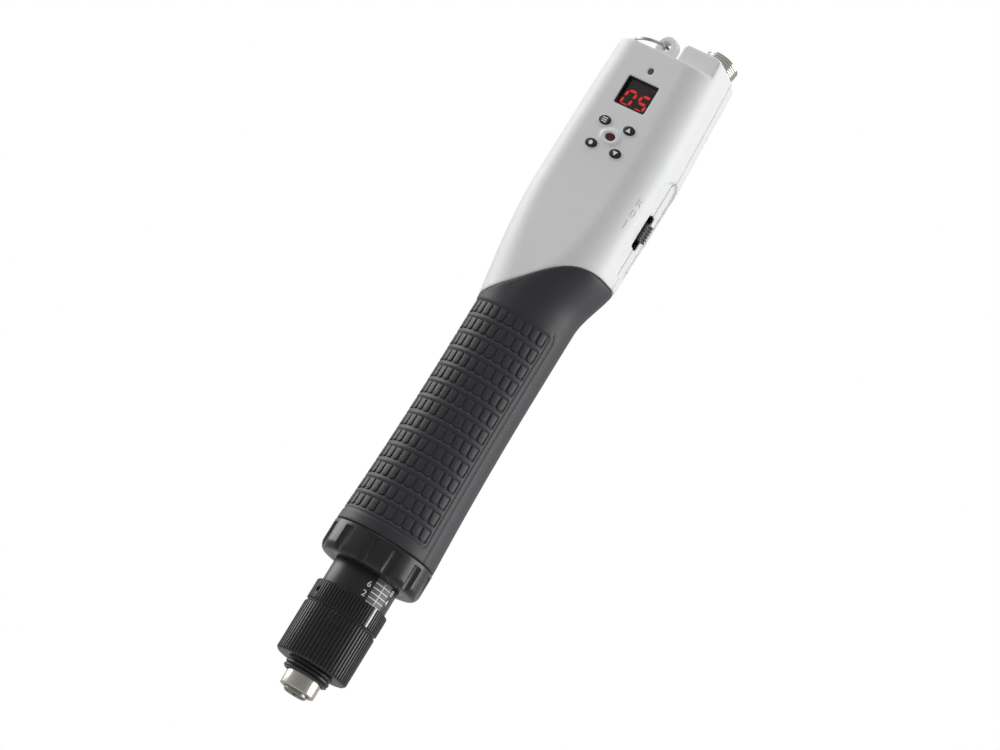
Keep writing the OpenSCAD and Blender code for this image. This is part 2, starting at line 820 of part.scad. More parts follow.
module planet_carrier() {
    color("#a8a8a4")
    difference() {
        union() {
            translate([0, 0, carrier_low]) cylinder(r = carrier_r, h = carrier_h);
            for (i = [0 : planets - 1]) rotate([0, 0, planet_angle(i)])
                translate([arm, 0, carrier_low]) cylinder(r = pin_r, h = gear_top - carrier_low + 0.4);
        }
        translate([0, 0, carrier_low - through]) cylinder(r = rod_r + rod_play, h = 20);
        at_balls() sphere(r = ball_r + 0.03, $fn = 32);
    }
}

module gear_case() {
    color("#8f8f8c")
    translate([0, 0, flange_low + flange_h]) difference() {
        cylinder(r = stack_r, h = ring_low - flange_low - flange_h);
        translate([0, 0, -through]) cylinder(r = stack_r - 1.6, h = 20);
    }
}

// ---------- motor ----------

shaft_r = 2;
bearing_r = 4.5;
bearing_play = 0.02;
can_wall = 0.9;
magnet_r = 6.2;
stator_low = can_low + 7;
stator_top = can_top - 9;
slots = 6;

module motor_plate(low) {
    translate([0, 0, low]) difference() {
        cylinder(r = stack_r, h = plate_h);
        translate([0, 0, -through]) cylinder(r = bearing_r + bearing_play, h = 10);
    }
}
module motor_flange() { color("#a5a5a3") motor_plate(motor_low); }
module motor_cap() { color("#a5a5a3") motor_plate(can_top); }

module motor_bearings() {
    color("#c0c0be")
    for (z = [motor_low, can_top]) translate([0, 0, z + 0.2]) difference() {
        cylinder(r = bearing_r, h = plate_h - 0.4);
        translate([0, 0, -through]) cylinder(r = shaft_r + bearing_play, h = 10);
    }
}

module motor_can() {
    color("#9b9b99")
    translate([0, 0, can_low]) difference() {
        cylinder(r = stack_r, h = motor_len);
        translate([0, 0, -through]) cylinder(r = stack_r - can_wall, h = motor_len + 2 * through);
    }
}

slot_r = 2;
slot_circle_r = 9.7;
module motor_stator() {
    color("#6f6f72")
    translate([0, 0, stator_low]) difference() {
        cylinder(r = stack_r - can_wall - 0.02, h = stator_top - stator_low);
        translate([0, 0, -through]) cylinder(r = magnet_r + clear, h = 60);
        for (i = [0 : slots - 1]) rotate([0, 0, 360 * i / slots]) {
            translate([slot_circle_r, 0, -through]) cylinder(r = slot_r, h = 60);
            translate([magnet_r, -0.4, -through]) cube([slot_circle_r - magnet_r, 0.8, 60]);
        }
    }
}

module motor_windings() {
    color("#b87333")
    for (i = [0 : slots - 1]) rotate([0, 0, 360 * i / slots])
        translate([slot_circle_r, 0, stator_low - 2.5])
            cylinder(r = slot_r - slip, h = stator_top - stator_low + 5);
}

module motor_shaft() {
    color("#c0c0be")
    translate([0, 0, gear_low]) difference() {
        cylinder(r = shaft_r, h = shaft_top - gear_low);
        translate([0, 0, -through]) cylinder(r = rod_r + rod_play, h = 90);
    }
}

module rotor_magnet() {
    color("#55555a")
    translate([0, 0, stator_low + 0.5]) difference() {
        cylinder(r = magnet_r, h = stator_top - stator_low - 1);
        translate([0, 0, -through]) cylinder(r = shaft_r + 0.01, h = 60);
    }
}

module sensor_board() {
    color("#2f6b3a")
    translate([0, 0, cap_top + 0.4]) difference() {
        cylinder(r = stack_r - 0.2, h = 1.2);
        translate([0, 0, -through]) cylinder(r = shaft_r + 1, h = 5);
    }
}

// ---------- push start ----------

rod_collar_r = 2.2;
module start_rod() {
    color("#c9c9c6")
    union() {
        translate([0, 0, spindle_top + 0.05]) cylinder(r = rod_r, h = rod_top - spindle_top);
        translate([0, 0, rod_collar_low]) cylinder(r = rod_collar_r, h = rod_collar_h);
    }
}

module start_spring() {
    color("#9a9a98")
    coil_spring(1.55, 0.25, rod_collar_low + rod_collar_h + 0.02, sensor_low - 0.02, 7);
}

module start_switch() {
    color("#2b2b2e")
    difference() {
        union() {
            translate([0, 0, sensor_low]) cylinder(r = stack_r - 0.2, h = 1.6);
            translate([-5, -4, sensor_low + 1.6]) cube([10, 8, 6]);
        }
        translate([0, 0, sensor_low - through])
            cylinder(r = rod_r + rod_play, h = rod_top - sensor_low + push_travel + through + 0.5);
    }
}

// ---------- boards and controls ----------

face_y = -head_front;
board_front_y = face_y + 7.2;
board_t = 1.6;
board_half_w = 10;
board_low = head_top - 66;
board_top = head_top - 5;
post_x = 8;
post_in = 3.5;
post_r = 1.6;
module circuit_board() {
    color("#2f6b3a")
    translate([-board_half_w, board_front_y, board_low])
        cube([2 * board_half_w, board_t, board_top - board_low]);
}

lens_sink = 1.1;
lens_t = 0.8;
module display_window() {
    color([0.15, 0.05, 0.05, 0.5])
    on_face(0, window_down) translate([-window_w / 2 + slip, -window_h / 2 + slip, -lens_sink - lens_t])
        cube([window_w - 2 * slip, window_h - 2 * slip, lens_t]);
}

module display_module() {
    z = head_top - window_down;
    front = face_y + head_wall + 0.1;
    color("#141416")
    translate([-window_w / 2, front, z - window_h / 2])
        cube([window_w, board_front_y - front - 0.02, window_h]);
}

// Lamp from the face down to the board, with its cross-section given as a child
module light_pipe(down, proud) {
    depth = board_front_y - face_y - 0.02;
    on_face(0, down) translate([0, 0, -depth]) linear_extrude(depth + proud) children();
}
module status_led() { color("#4a4446") light_pipe(led_down, -0.1) circle(r = led_r); }
module centre_led() { color("#7a1010") light_pipe(buttons_down, 0.1) polygon(oval(led_a, led_b)); }

tact_top = 2.6;
module button_switches() {
    color("#2b2b2e")
    for (p = button_places)
        translate([p[0] * button_dx, board_front_y - 0.02, head_top - buttons_down - p[1] * button_dz])
            rotate([90, 0, 0]) {
                translate([-2.1, -1.6, 0]) cube([4.2, 3.2, tact_top - 0.8]);
                cylinder(r = 1.2, h = tact_top);
            }
}

button_proud = 0.7;
module face_button(place) {
    foot = tact_top + button_travel + 0.1;
    depth = board_front_y - face_y - foot;
    color("#1e1e21")
    on_face(place[0] * button_dx, buttons_down + place[1] * button_dz) {
        translate([0, 0, -head_wall - 1.2]) linear_extrude(head_wall + 1.2 + button_proud - 0.3)
            polygon(oval(button_a, button_b));
        translate([0, 0, button_proud - 0.3]) linear_extrude(0.3)
            polygon(oval(button_a - 0.4, button_b - 0.35));
        translate([0, 0, -head_wall - 1.2]) linear_extrude(0.6)
            polygon(oval(button_a + 0.4, button_b + 0.4));
        translate([0, 0, -depth]) cylinder(r = 1, h = depth - head_wall);
    }
}

knob_reach = 4.9;
knob_out = head_half_w;
knob_in = knob_out - knob_reach;
knob_flange_h = 10.4;
module direction_slider() {
    color("#17171a")
    union() {
        difference() {
            translate([knob_in, parting_y - knob_w / 2, switch_z - knob_len / 2])
                cube([knob_out - knob_in, knob_w, knob_len]);
            for (i = [-2 : 2]) translate([knob_out - 0.35, parting_y - 5, switch_z + i * 1.15 - 0.25])
                cube([2, 10, 0.5]);
        }
        translate([knob_in, parting_y - 3.4, switch_z - knob_flange_h / 2])
            cube([1, 6.8, knob_flange_h]);
    }
}

module direction_switch() {
    color("#2b2b2e")
    translate([knob_in - 4.4, parting_y - 4, switch_z - 6.5]) cube([4.2, 8, 13]);
}

// ---------- power connector ----------

barrel_wall = 1.1;
panel_t = head_wall;
module connector_shell() {
    color("#b9b4a6")
    at_connector() difference() {
        union() {
            translate([0, 0, -8]) cylinder(r = connector_body_r, h = 8);
            cylinder(r = connector_r, h = connector_len);
        }
        translate([0, 0, -5.5]) cylinder(r = connector_r - barrel_wall, h = 30);
        translate([0, 0, -9]) cylinder(r = connector_r - barrel_wall - 1, h = 5);
    }
}

module connector_insert() {
    color("#1a1a1c")
    at_connector() difference() {
        translate([0, 0, -5.45]) cylinder(r = connector_r - barrel_wall - 0.05, h = 6);
        for (i = [0 : 4]) rotate([0, 0, 72 * i]) translate([2.8, 0, -7]) cylinder(r = 0.52, h = 12, $fn = 24);
    }
}

module connector_pins() {
    color("#c8a24a")
    at_connector() for (i = [0 : 4]) rotate([0, 0, 72 * i])
        translate([2.8, 0, -8]) cylinder(r = 0.5, h = 11, $fn = 24);
}

module connector_nut() {
    color("#b9b4a6")
    at_connector() translate([0, 0, -panel_t - slip - connector_nut_h]) difference() {
        rotate([0, 0, 30]) cylinder(r = connector_nut_r, h = connector_nut_h, $fn = 6);
        translate([0, 0, -through]) cylinder(r = connector_body_r + 0.02, h = 5);
    }
}

// ---------- hanger ----------

hanger_droop = 15;
strand_step = 0.72;
module hanger_ring() {
    color("#bdbab2")
    translate([eye_x, eye_y, eye_z]) rotate([0, -hanger_droop, 0])
        translate([-hanger_r, 0, 0]) rotate_extrude()
            for (side = [-1, 1]) translate([hanger_r, side * strand_step / 2]) circle(r = hanger_wire_r, $fn = 20);
}

front_housing();
rear_housing();
grip_sleeve();
grip_nut();
neck_sleeve();
nose_tube();
spindle_bearing();
gear_case();
ring_gear();
motor_flange();
motor_can();
motor_stator();
motor_windings();
motor_cap();
motor_bearings();
sensor_board();
start_switch();
circuit_board();
display_module();
display_window();
status_led();
centre_led();
button_switches();
direction_switch();
connector_shell();
connector_insert();
connector_pins();
connector_nut();
housing_screws();
rotor_magnet();
motor_shaft();
motor_pinion();
planet_carrier();
clutch_balls();
planet_gear(0);  // planet_gear_1
planet_gear(1);  // planet_gear_2
planet_gear(2);  // planet_gear_3
clutch_plate();
start_rod();
start_spring();
spindle();
bit_ball();
sleeve_collar();
bit_sleeve();
sleeve_spring();
spring_seat();
torque_spring();
torque_nut();
index_ring();
index_screw();
direction_slider();
face_button(button_places[0]);  // button_program
face_button(button_places[1]);  // button_up
face_button(button_places[2]);  // button_select
face_button(button_places[3]);  // button_down
hanger_ring();
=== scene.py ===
"""Electric torque screwdriver: the finished look of every piece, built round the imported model.
Metres, in the model's own frame: +Z runs up the drive axis, the display looks to -Y and the
direction switch to +X. Each section makes one piece, from the bit holder up to the hanger, and
the last ones make the screws and the drive inside."""

import json
import math

import bmesh
import bpy
import numpy as np
from mathutils import Matrix, Quaternion, Vector

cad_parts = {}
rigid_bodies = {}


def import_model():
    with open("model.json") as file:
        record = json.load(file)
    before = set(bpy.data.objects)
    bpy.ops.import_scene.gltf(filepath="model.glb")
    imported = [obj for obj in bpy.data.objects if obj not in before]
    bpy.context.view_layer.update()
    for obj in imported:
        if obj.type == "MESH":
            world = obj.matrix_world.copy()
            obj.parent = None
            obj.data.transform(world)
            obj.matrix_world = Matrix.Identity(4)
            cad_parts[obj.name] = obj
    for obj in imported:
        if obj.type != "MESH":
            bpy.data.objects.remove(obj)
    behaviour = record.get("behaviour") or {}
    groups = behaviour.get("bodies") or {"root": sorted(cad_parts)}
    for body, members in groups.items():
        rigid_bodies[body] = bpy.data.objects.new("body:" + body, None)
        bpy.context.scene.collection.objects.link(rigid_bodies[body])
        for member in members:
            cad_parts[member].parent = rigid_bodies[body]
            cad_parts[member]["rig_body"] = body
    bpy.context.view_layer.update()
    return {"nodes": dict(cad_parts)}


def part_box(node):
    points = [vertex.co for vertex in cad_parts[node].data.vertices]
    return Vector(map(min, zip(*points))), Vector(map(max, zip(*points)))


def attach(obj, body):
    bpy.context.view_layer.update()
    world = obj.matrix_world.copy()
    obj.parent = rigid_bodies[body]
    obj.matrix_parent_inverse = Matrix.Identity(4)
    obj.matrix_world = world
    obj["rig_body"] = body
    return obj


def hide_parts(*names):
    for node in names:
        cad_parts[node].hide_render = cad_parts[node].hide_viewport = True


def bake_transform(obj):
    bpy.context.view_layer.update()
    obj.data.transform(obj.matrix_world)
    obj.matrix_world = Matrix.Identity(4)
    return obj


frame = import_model()
nodes = frame["nodes"]
MM = 0.001

# ---- Room ----
# The tool hangs free in a plain pale room. It is seen from low on its right, leaning to the right,
# with a soft lamp on each side and a pale surround that is darkest towards the viewer.
view_azimuth = math.radians(30.5)
view_elevation = math.radians(-9.5)
view_roll = math.radians(31.5)
view_distance = 4.0
view_width = 0.339
view_shift = 0.0029
sensor_width = 36
tool_middle = Vector((0, 0, 0.130))
view_right = Vector((math.cos(view_azimuth), math.sin(view_azimuth), 0))
view_back = Vector((
    math.sin(view_azimuth) * math.cos(view_elevation),
    -math.cos(view_azimuth) * math.cos(view_elevation),
    math.sin(view_elevation),
))


def placed(name, data):
    """A new object in the scene that holds a mesh, lamp, camera or curve."""
    obj = bpy.data.objects.new(name, data)
    bpy.context.scene.collection.objects.link(obj)
    return obj


camera = placed("camera", bpy.data.cameras.new("camera"))
bpy.context.scene.camera = camera
camera.data.lens = sensor_width * view_distance / view_width
camera.data.clip_end = 50
camera.location = tool_middle + view_right * view_shift + view_back * view_distance
camera.rotation_mode = "QUATERNION"
lean = Quaternion((0, 0, 1), view_roll)
camera.rotation_quaternion = (-view_back).to_track_quat("-Z", "Y") @ lean
bpy.context.scene.view_settings.view_transform = "Standard"


def lamp(name, azimuth, elevation, distance, size, power):
    """A square soft lamp that faces the middle of the tool."""
    data = bpy.data.lights.new(name, "AREA")
    data.size = size
    data.energy = power
    obj = placed(name, data)
    a, e = math.radians(azimuth), math.radians(elevation)
    away = Vector((math.sin(a) * math.cos(e), -math.cos(a) * math.cos(e), math.sin(e)))
    obj.location = tool_middle + away * distance
    obj.rotation_euler = (-away).to_track_quat("-Z", "Y").to_euler()


lamp("left_lamp", -82, 20, 1.6, 1.2, 15)
lamp("right_lamp", 116, 12, 1.6, 1.2, 17)
lamp("top_lamp", 20, 76, 1.7, 1.0, 7)

world = bpy.data.worlds.new("room")
bpy.context.scene.world = world
world.use_nodes = True
world_nodes, world_links = world.node_tree.nodes, world.node_tree.links
surround = world_nodes["Background"]
surround.inputs["Color"].default_value = (1, 1, 1, 1)
ray = world_nodes.new("ShaderNodeLightPath")
seen = world_nodes.new("ShaderNodeMath")
seen.operation = "MAXIMUM"
world_links.new(ray.outputs["Is Camera Ray"], seen.inputs[0])
world_links.new(ray.outputs["Is Transmission Ray"], seen.inputs[1])
aim = world_nodes.new("ShaderNodeTexCoord")
ahead = world_nodes.new("ShaderNodeVectorMath")
ahead.operation = "DOT_PRODUCT"
ahead.inputs[1].default_value = (0.5, -0.86, 0.0)
world_links.new(aim.outputs["Generated"], ahead.inputs[0])
shade = world_nodes.new("ShaderNodeMapRange")
shade.inputs["From Min"].default_value = -0.1
shade.inputs["From Max"].default_value = 0.97
shade.inputs["To Min"].default_value = 0.62
shade.inputs["To Max"].default_value = 0.32
world_links.new(ahead.outputs["Value"], shade.inputs["Value"])
level = world_nodes.new("ShaderNodeMix")
level.inputs["B"].default_value = 1.0
world_links.new(seen.outputs["Value"], level.inputs["Factor"])
world_links.new(shade.outputs["Result"], level.inputs["A"])
world_links.new(level.outputs["Result"], surround.inputs["Strength"])

floor_half = 12
floor_z = -2
floor_corners = [(-1, -1), (1, -1), (1, 1), (-1, 1)]
floor_mesh = bpy.data.meshes.new("floor")
floor_mesh.from_pydata(
    [(x * floor_half, y * floor_half, floor_z) for x, y in floor_corners], [], [(0, 1, 2, 3)]
)
floor = placed("floor", floor_mesh)
floor_paint = bpy.data.materials.new("floor_paint")
floor_paint.use_nodes = True
floor_nodes, floor_links = floor_paint.node_tree.nodes, floor_paint.node_tree.links
floor_nodes["Principled BSDF"].inputs["Base Color"].default_value = (0.8, 0.8, 0.8, 1)
floor_glow = floor_nodes.new("ShaderNodeEmission")
floor_ray = floor_nodes.new("ShaderNodeLightPath")
floor_mix = floor_nodes.new("ShaderNodeMixShader")
floor_links.new(floor_ray.outputs["Is Camera Ray"], floor_mix.inputs["Fac"])
floor_links.new(floor_nodes["Principled BSDF"].outputs["BSDF"], floor_mix.inputs[1])
floor_links.new(floor_glow.outputs["Emission"], floor_mix.inputs[2])
floor_links.new(floor_mix.outputs["Shader"], floor_nodes["Material Output"].inputs["Surface"])
floor_mesh.materials.append(floor_paint)

# ---- Spindle ----
# Hardened steel, turned and ground, with a broached hex socket for the bit. It runs in the
# bearing above the bit holder and its hex tail drives through the clutch plate.


def finish(name, colour, rough, metal=0.0, grain=0.5, relief=0.012, mottle=0.05, stretch=(1, 1, 1)):
    """A solid finish: colour a little uneven, gloss that varies and a fine grain in relief.
    grain is the grain's size and relief its depth, both in mm."""
    mat = bpy.data.materials.new(name)
    mat.use_nodes = True
    tree = mat.node_tree
    shader = tree.nodes["Principled BSDF"]
    shader.inputs["Metallic"].default_value = metal
    place = tree.nodes.new("ShaderNodeTexCoord")
    spread = tree.nodes.new("ShaderNodeMapping")
    spread.inputs["Scale"].default_value = stretch
    tree.links.new(place.outputs["Object"], spread.inputs["Vector"])
    fine = tree.nodes.new("ShaderNodeTexNoise")
    fine.inputs["Scale"].default_value = 1 / (grain * MM)
    fine.inputs["Detail"].default_value = 3
    broad = tree.nodes.new("ShaderNodeTexNoise")
    broad.inputs["Scale"].default_value = 1 / (14 * MM)
    broad.inputs["Detail"].default_value = 5
    for texture in (fine, broad):
        tree.links.new(spread.outputs["Vector"], texture.inputs["Vector"])
    tint = tree.nodes.new("ShaderNodeMix")
    tint.data_type = "RGBA"
    tint.inputs["A"].default_value = (*[c * (1 - mottle) for c in colour], 1)
    tint.inputs["B"].default_value = (*[min(1, c * (1 + mottle)) for c in colour], 1)
    tree.links.new(broad.outputs["Fac"], tint.inputs["Factor"])
    tree.links.new(tint.outputs["Result"], shader.inputs["Base Color"])
    gloss = tree.nodes.new("ShaderNodeMapRange")
    gloss.inputs["To Min"].default_value = rough * 0.82
    gloss.inputs["To Max"].default_value = min(1, rough * 1.2)
    tree.links.new(fine.outputs["Fac"], gloss.inputs["Value"])
    tree.links.new(gloss.outputs["Result"], shader.inputs["Roughness"])
    bump = tree.nodes.new("ShaderNodeBump")
    bump.inputs["Distance"].default_value = relief * MM
    tree.links.new(fine.outputs["Fac"], bump.inputs["Height"])
    tree.links.new(bump.outputs["Normal"], shader.inputs["Normal"])
    return mat


def tuned(material, values):
    """Sets inputs of a finish's shader by their names."""
    inputs = material.node_tree.nodes["Principled BSDF"].inputs
    for key, value in values.items():
        inputs[key].default_value = value


def show(mesh, name, material, body, stands_for=()):
    """Puts a finished mesh in the scene as a piece that rides on a body."""
    mesh.materials.clear()
    mesh.materials.append(material)
    obj = placed(name, mesh)
    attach(obj, body)
    if stands_for:
        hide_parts(*stands_for)
    return obj


def smooth_by(mesh, degrees):
    """Smooth shading that keeps the edges sharper than an angle."""
    mesh.polygons.foreach_set("use_smooth", [True] * len(mesh.polygons))
    mesh.set_sharp_from_angle(angle=math.radians(degrees))


def plain_copy(node):
    """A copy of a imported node's mesh with its loose triangles joined into whole faces."""
    mesh = nodes[node].data.copy()
    work = bmesh.new()
    work.from_mesh(mesh)
    bmesh.ops.remove_doubles(work, verts=work.verts, dist=2e-6)
    work.to_mesh(mesh)
    work.free()
    if "custom_normal" in mesh.attributes:
        mesh.attributes.remove(mesh.attributes["custom_normal"])
    return mesh


def evaluated(obj):
    """The finished mesh of an object with modifiers or text; the object itself goes."""
    made = bpy.data.meshes.new_from_object(
        obj.evaluated_get(bpy.context.evaluated_depsgraph_get())
    )
    bpy.data.objects.remove(obj)
    return made


def modified(mesh, *settings):
    """The mesh after one or more modifiers, each given as (kind, {setting: value})."""
    obj = placed("blank", mesh)
    for kind, values in settings:
        modifier = obj.modifiers.new(kind.lower(), kind)
        for key, value in values.items():
            setattr(modifier, key, value)
    return evaluated(obj)


def broken_edges(mesh, width):
    """Flat faces made whole, then every sharp edge broken by a small round of that width in mm."""
    work = bmesh.new()
    work.from_mesh(mesh)
    bmesh.ops.dissolve_limit(
        work, angle_limit=math.radians(0.4), verts=work.verts[:], edges=work.edges[:]
    )
    work.to_mesh(mesh)
    work.free()
    bevel = {"width": width * MM, "segments": 2, "limit_method": "ANGLE"}
    made = modified(mesh, ("BEVEL", {**bevel, "angle_limit": math.radians(28)}))
    smooth_by(made, 32)
    return made


def refine(node, material, width=0.15):
    """Shows a node as a clean copy with broken edges and its own finish."""
    mesh = broken_edges(plain_copy(node), width)
    return show(mesh, node + "_finished", material, nodes[node]["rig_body"], [node])


def paint(material, *names):
    """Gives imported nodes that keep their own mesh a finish."""
    for name in names:
        nodes[name].material_slots[0].link = "OBJECT"
        nodes[name].material_slots[0].material = material


spindle_steel = finish("spindle_steel", (0.30, 0.29, 0.27), 0.28, 1, 0.5, 0.0015, 0.1, (0.3, 0.3, 4))
refine("spindle", spindle_steel, 0.2)
ball_steel = finish("ball_steel", (0.62, 0.61, 0.60), 0.12, 1, 1.5, 0.001, 0.04)
paint(ball_steel, "bit_ball", "clutch_balls", "motor_bearings", "spindle_bearing")

# ---- Quick-change sleeve ----
# Nickel-plated steel, turned, with a bright chamfer at each end, and a narrow collar above it.
# It slides up on the spindle against its spring and lets the ball free the bit.
nickel = finish("nickel", (0.58, 0.55, 0.50), 0.22, 1, 0.6, 0.0012, 0.04, (0.2, 0.2, 4))
refine("bit_sleeve", nickel, 0.18)
refine("sleeve_collar", nickel, 0.12)


def node_tree(name, inputs):
    """An empty geometry tree with named inputs, given as (name, socket type, value)."""
    tree = bpy.data.node_groups.new(name, "GeometryNodeTree")
    tree.interface.new_socket("Geometry", in_out="INPUT", socket_type="NodeSocketGeometry")
    for label, kind, value in inputs:
        socket = tree.interface.new_socket(label, in_out="INPUT", socket_type=kind)
        if value is not None:
            socket.default_value = value
    tree.interface.new_socket("Geometry", in_out="OUTPUT", socket_type="NodeSocketGeometry")
    return tree, tree.nodes.new("NodeGroupInput").outputs, tree.nodes.new("NodeGroupOutput").inputs


def step(tree, kind, values=None, settings=None):
    """Adds a node; each input takes a value or another node's output."""
    made = tree.nodes.new(kind)
    for key, value in (settings or {}).items():
        setattr(made, key, value)
    for key, value in (values or {}).items():
        if isinstance(value, bpy.types.NodeSocket):
            tree.links.new(value, made.inputs[key])
        else:
            made.inputs[key].default_value = value
    return made


def count(tree, operation, a, b=0.0):
    """One sum of two numbers or sockets."""
    return step(tree, "ShaderNodeMath", {0: a, 1: b}, {"operation": operation}).outputs[0]


def grown(tree, values, start=None):
    """The plain mesh that a tree makes from a starting mesh and values for its named inputs."""
    obj = placed("seed", start or bpy.data.meshes.new("seed"))
    modifier = obj.modifiers.new("grow", "NODES")
    modifier.node_group = tree
    keys = {i.name: i.identifier for i in tree.interface.items_tree if i.in_out == "INPUT"}
    for label, value in values.items():
        modifier[keys[label]] = value
    return evaluated(obj)


def outward(mesh, merge=0.0):
    """Turns a mesh's normals outward, once its points nearer than merge are made one."""
    work = bmesh.new()
    work.from_mesh(mesh)
    if merge:
        bmesh.ops.remove_doubles(work, verts=work.verts, dist=merge)
    bmesh.ops.recalc_face_normals(work, faces=work.faces)
    work.to_mesh(mesh)
    work.free()


coil_tree, coil_in, coil_out = node_tree("coil", [
    ("Turns", "NodeSocketFloat", 5.0),
    ("Radius", "NodeSocketFloat", 0.005),
    ("Wire", "NodeSocketFloat", 0.0005),
    ("Rise", "NodeSocketFloat", 0.01),
    ("Steps", "NodeSocketInt", 32),
    ("Sides", "NodeSocketInt", 10),
    ("Material", "NodeSocketMaterial", None),
])
coil_line = step(coil_tree, "GeometryNodeCurveSpiral", {
    "Resolution": coil_in["Steps"], "Rotations": coil_in["Turns"],
    "Start Radius": coil_in["Radius"], "End Radius": coil_in["Radius"], "Height": coil_in["Rise"],
})
coil_up = step(
    coil_tree, "GeometryNodeSetCurveNormal", {"Curve": coil_line.outputs[0]}, {"mode": "Z_UP"}
)
coil_round = step(coil_tree, "GeometryNodeCurvePrimitiveCircle", {
    "Resolution": coil_in["Sides"], "Radius": coil_in["Wire"],
})
coil_skin = step(coil_tree, "GeometryNodeCurveToMesh", {
    "Curve": coil_up.outputs[0], "Profile Curve": coil_round.outputs[0], "Fill Caps": True,
})
coil_real = step(coil_tree, "GeometryNodeRealizeInstances", {"Geometry": coil_skin.outputs[0]})
coil_paint = step(coil_tree, "GeometryNodeSetMaterial", {
    "Geometry": coil_real.outputs[0], "Material": coil_in["Material"],
})
coil_tree.links.new(coil_paint.outputs[0], coil_out[0])


def coil(turns, radius, wire, low, high, steps=32, sides=10, material=None):
    """A coil of round wire between two heights, sizes in mm."""
    mesh = grown(coil_tree, {
        "Turns": float(turns), "Radius": radius * MM, "Wire": wire * MM,
        "Rise": (high - low - 2 * wire) * MM, "Steps": steps, "Sides": sides, "Material": material,
    })
    mesh.transform(Matrix.Translation((0, 0, (low + wire) * MM)))
    outward(mesh, 1e-7)
    smooth_by(mesh, 40)
    return mesh


def height(node):
    """The lowest and highest point of a node, in mm."""
    low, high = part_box(node)
    return low.z / MM, high.z / MM


def reach(node):
    """The radius of a round node about the drive axis, in mm."""
    low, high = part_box(node)
    return (high.x - low.x) / 2 / MM


def spring(node, wire, turns, material):
    """Shows a spring as a fine coil over its node's height, in place of the node."""
    low, high = height(node)
    mesh = coil(turns, reach(node) - wire, wire, low, high, material=material)
    mesh.materials.clear()
    mesh.materials.append(material)
    obj = placed(node + "_coil", mesh)
    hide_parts(node)
    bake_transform(obj)
    return obj


spring_wire = finish("spring_wire", (0.45, 0.44, 0.42), 0.3, 1, 0.6, 0.004, 0.1)
spring("sleeve_spring", 0.3, 6, spring_wire)

# ---- Nose tube ----
# Black-oxided steel tube that carries the spindle bearing. Its outside is threaded with a 1.5 mm
# pitch for the torque nut, and three slots let the spring seat's ears reach the nut.


def cut(mesh, tools, operation="DIFFERENCE"):
    """The mesh less, or joined or limited to, each tool mesh in turn."""
    for tool in tools:
        piece = placed("tool", tool)
        mesh = modified(mesh, ("BOOLEAN", {"object": piece, "operation": operation, "solver": "EXACT"}))
        bpy.data.objects.remove(piece)
    return mesh


black_oxide = finish("black_oxide", (0.018, 0.018, 0.020), 0.33, 0.0, 0.35, 0.006, 0.25, (1, 1, 3))
nose_low = height("nose_tube")[0]
nose_turns = 9.5
groove_r = 8.62
groove_wire = 0.62
nose_groove = coil(nose_turns, groove_r, groove_wire, nose_low - 1.2, nose_low + 14.4, 48, 4)
nose_mesh = cut(plain_copy("nose_tube"), [nose_groove])
smooth_by(nose_mesh, 32)
show(nose_mesh, "nose_tube_threaded", black_oxide, "housing", ["nose_tube"])
paint(spring_wire, "spring_seat")
spring("torque_spring", 0.6, 8, spring_wire)

# ---- Torque nut and index ring ----
# Black anodised and straight-knurled. The nut screws along the nose tube to set the torque, and
# the finer index ring above it carries one white line that reads against the scale.
black_satin = finish("black_satin", (0.017, 0.017, 0.019), 0.32, 0.0, 0.3, 0.006, 0.2, (1, 1, 2.5))
refine("torque_nut", black_satin, 0.1)
refine("index_ring", black_satin, 0.08)
paint(black_oxide, "index_screw")


def laid_round(mesh, radius, azimuth, height_mm):
    """Bends a flat mesh in mm round the drive axis; the azimuth is in degrees from the front."""
    for vertex in mesh.vertices:
        angle = math.radians(azimuth) + vertex.co.x / radius
        r = (radius + vertex.co.z) * MM
        vertex.co = (r * math.sin(angle), -r * math.cos(angle), (height_mm + vertex.co.y) * MM)


def bent_sheet(outline, radius, thick, centre, height_mm, name="sheet"):
    """A flat outline in mm (across, up) laid round a cylinder, as a thin raised layer."""
    work = bmesh.new()
    for part in outline:
        ring = [work.verts.new((x, y, 0)) for x, y in part]
        work.faces.new(ring)
    bmesh.ops.triangulate(work, faces=work.faces)
    span = max(abs(x) for part in outline for x, y in part)
    steps = [0.4 * i for i in range(-int(span / 0.4) - 1, int(span / 0.4) + 2)]
    for x in steps:
        bmesh.ops.bisect_plane(
            work, geom=work.verts[:] + work.edges[:] + work.faces[:],
            plane_co=(x, 0, 0), plane_no=(1, 0, 0),
        )
    mesh = bpy.data.meshes.new(name)
    work.to_mesh(mesh)
    work.free()
    mesh = modified(mesh, ("SOLIDIFY", {"thickness": thick, "offset": 1.0}))
    laid_round(mesh, radius, centre, height_mm)
    outward(mesh)
    return mesh


def block(wide, high, x=0.0, y=0.0):
    """A rectangle in mm, centred on a point."""
    return [
        (x - wide / 2, y - high / 2), (x + wide / 2, y - high / 2),
        (x + wide / 2, y + high / 2), (x - wide / 2, y + high / 2),
    ]


white_fill = finish("white_fill", (0.86, 0.86, 0.85), 0.5, 0, 0.3, 0.004, 0.03)
ring_low, ring_high = height("index_ring")
index_r = 13.25
index_azimuth = 70
index_line = bent_sheet(
    [block(0.75, ring_high - ring_low - 0.9)], index_r, 0.45, index_azimuth,
    (ring_low + ring_high) / 2 + 0.3,
)
show(index_line, "index_line", white_fill, "torque_nut")
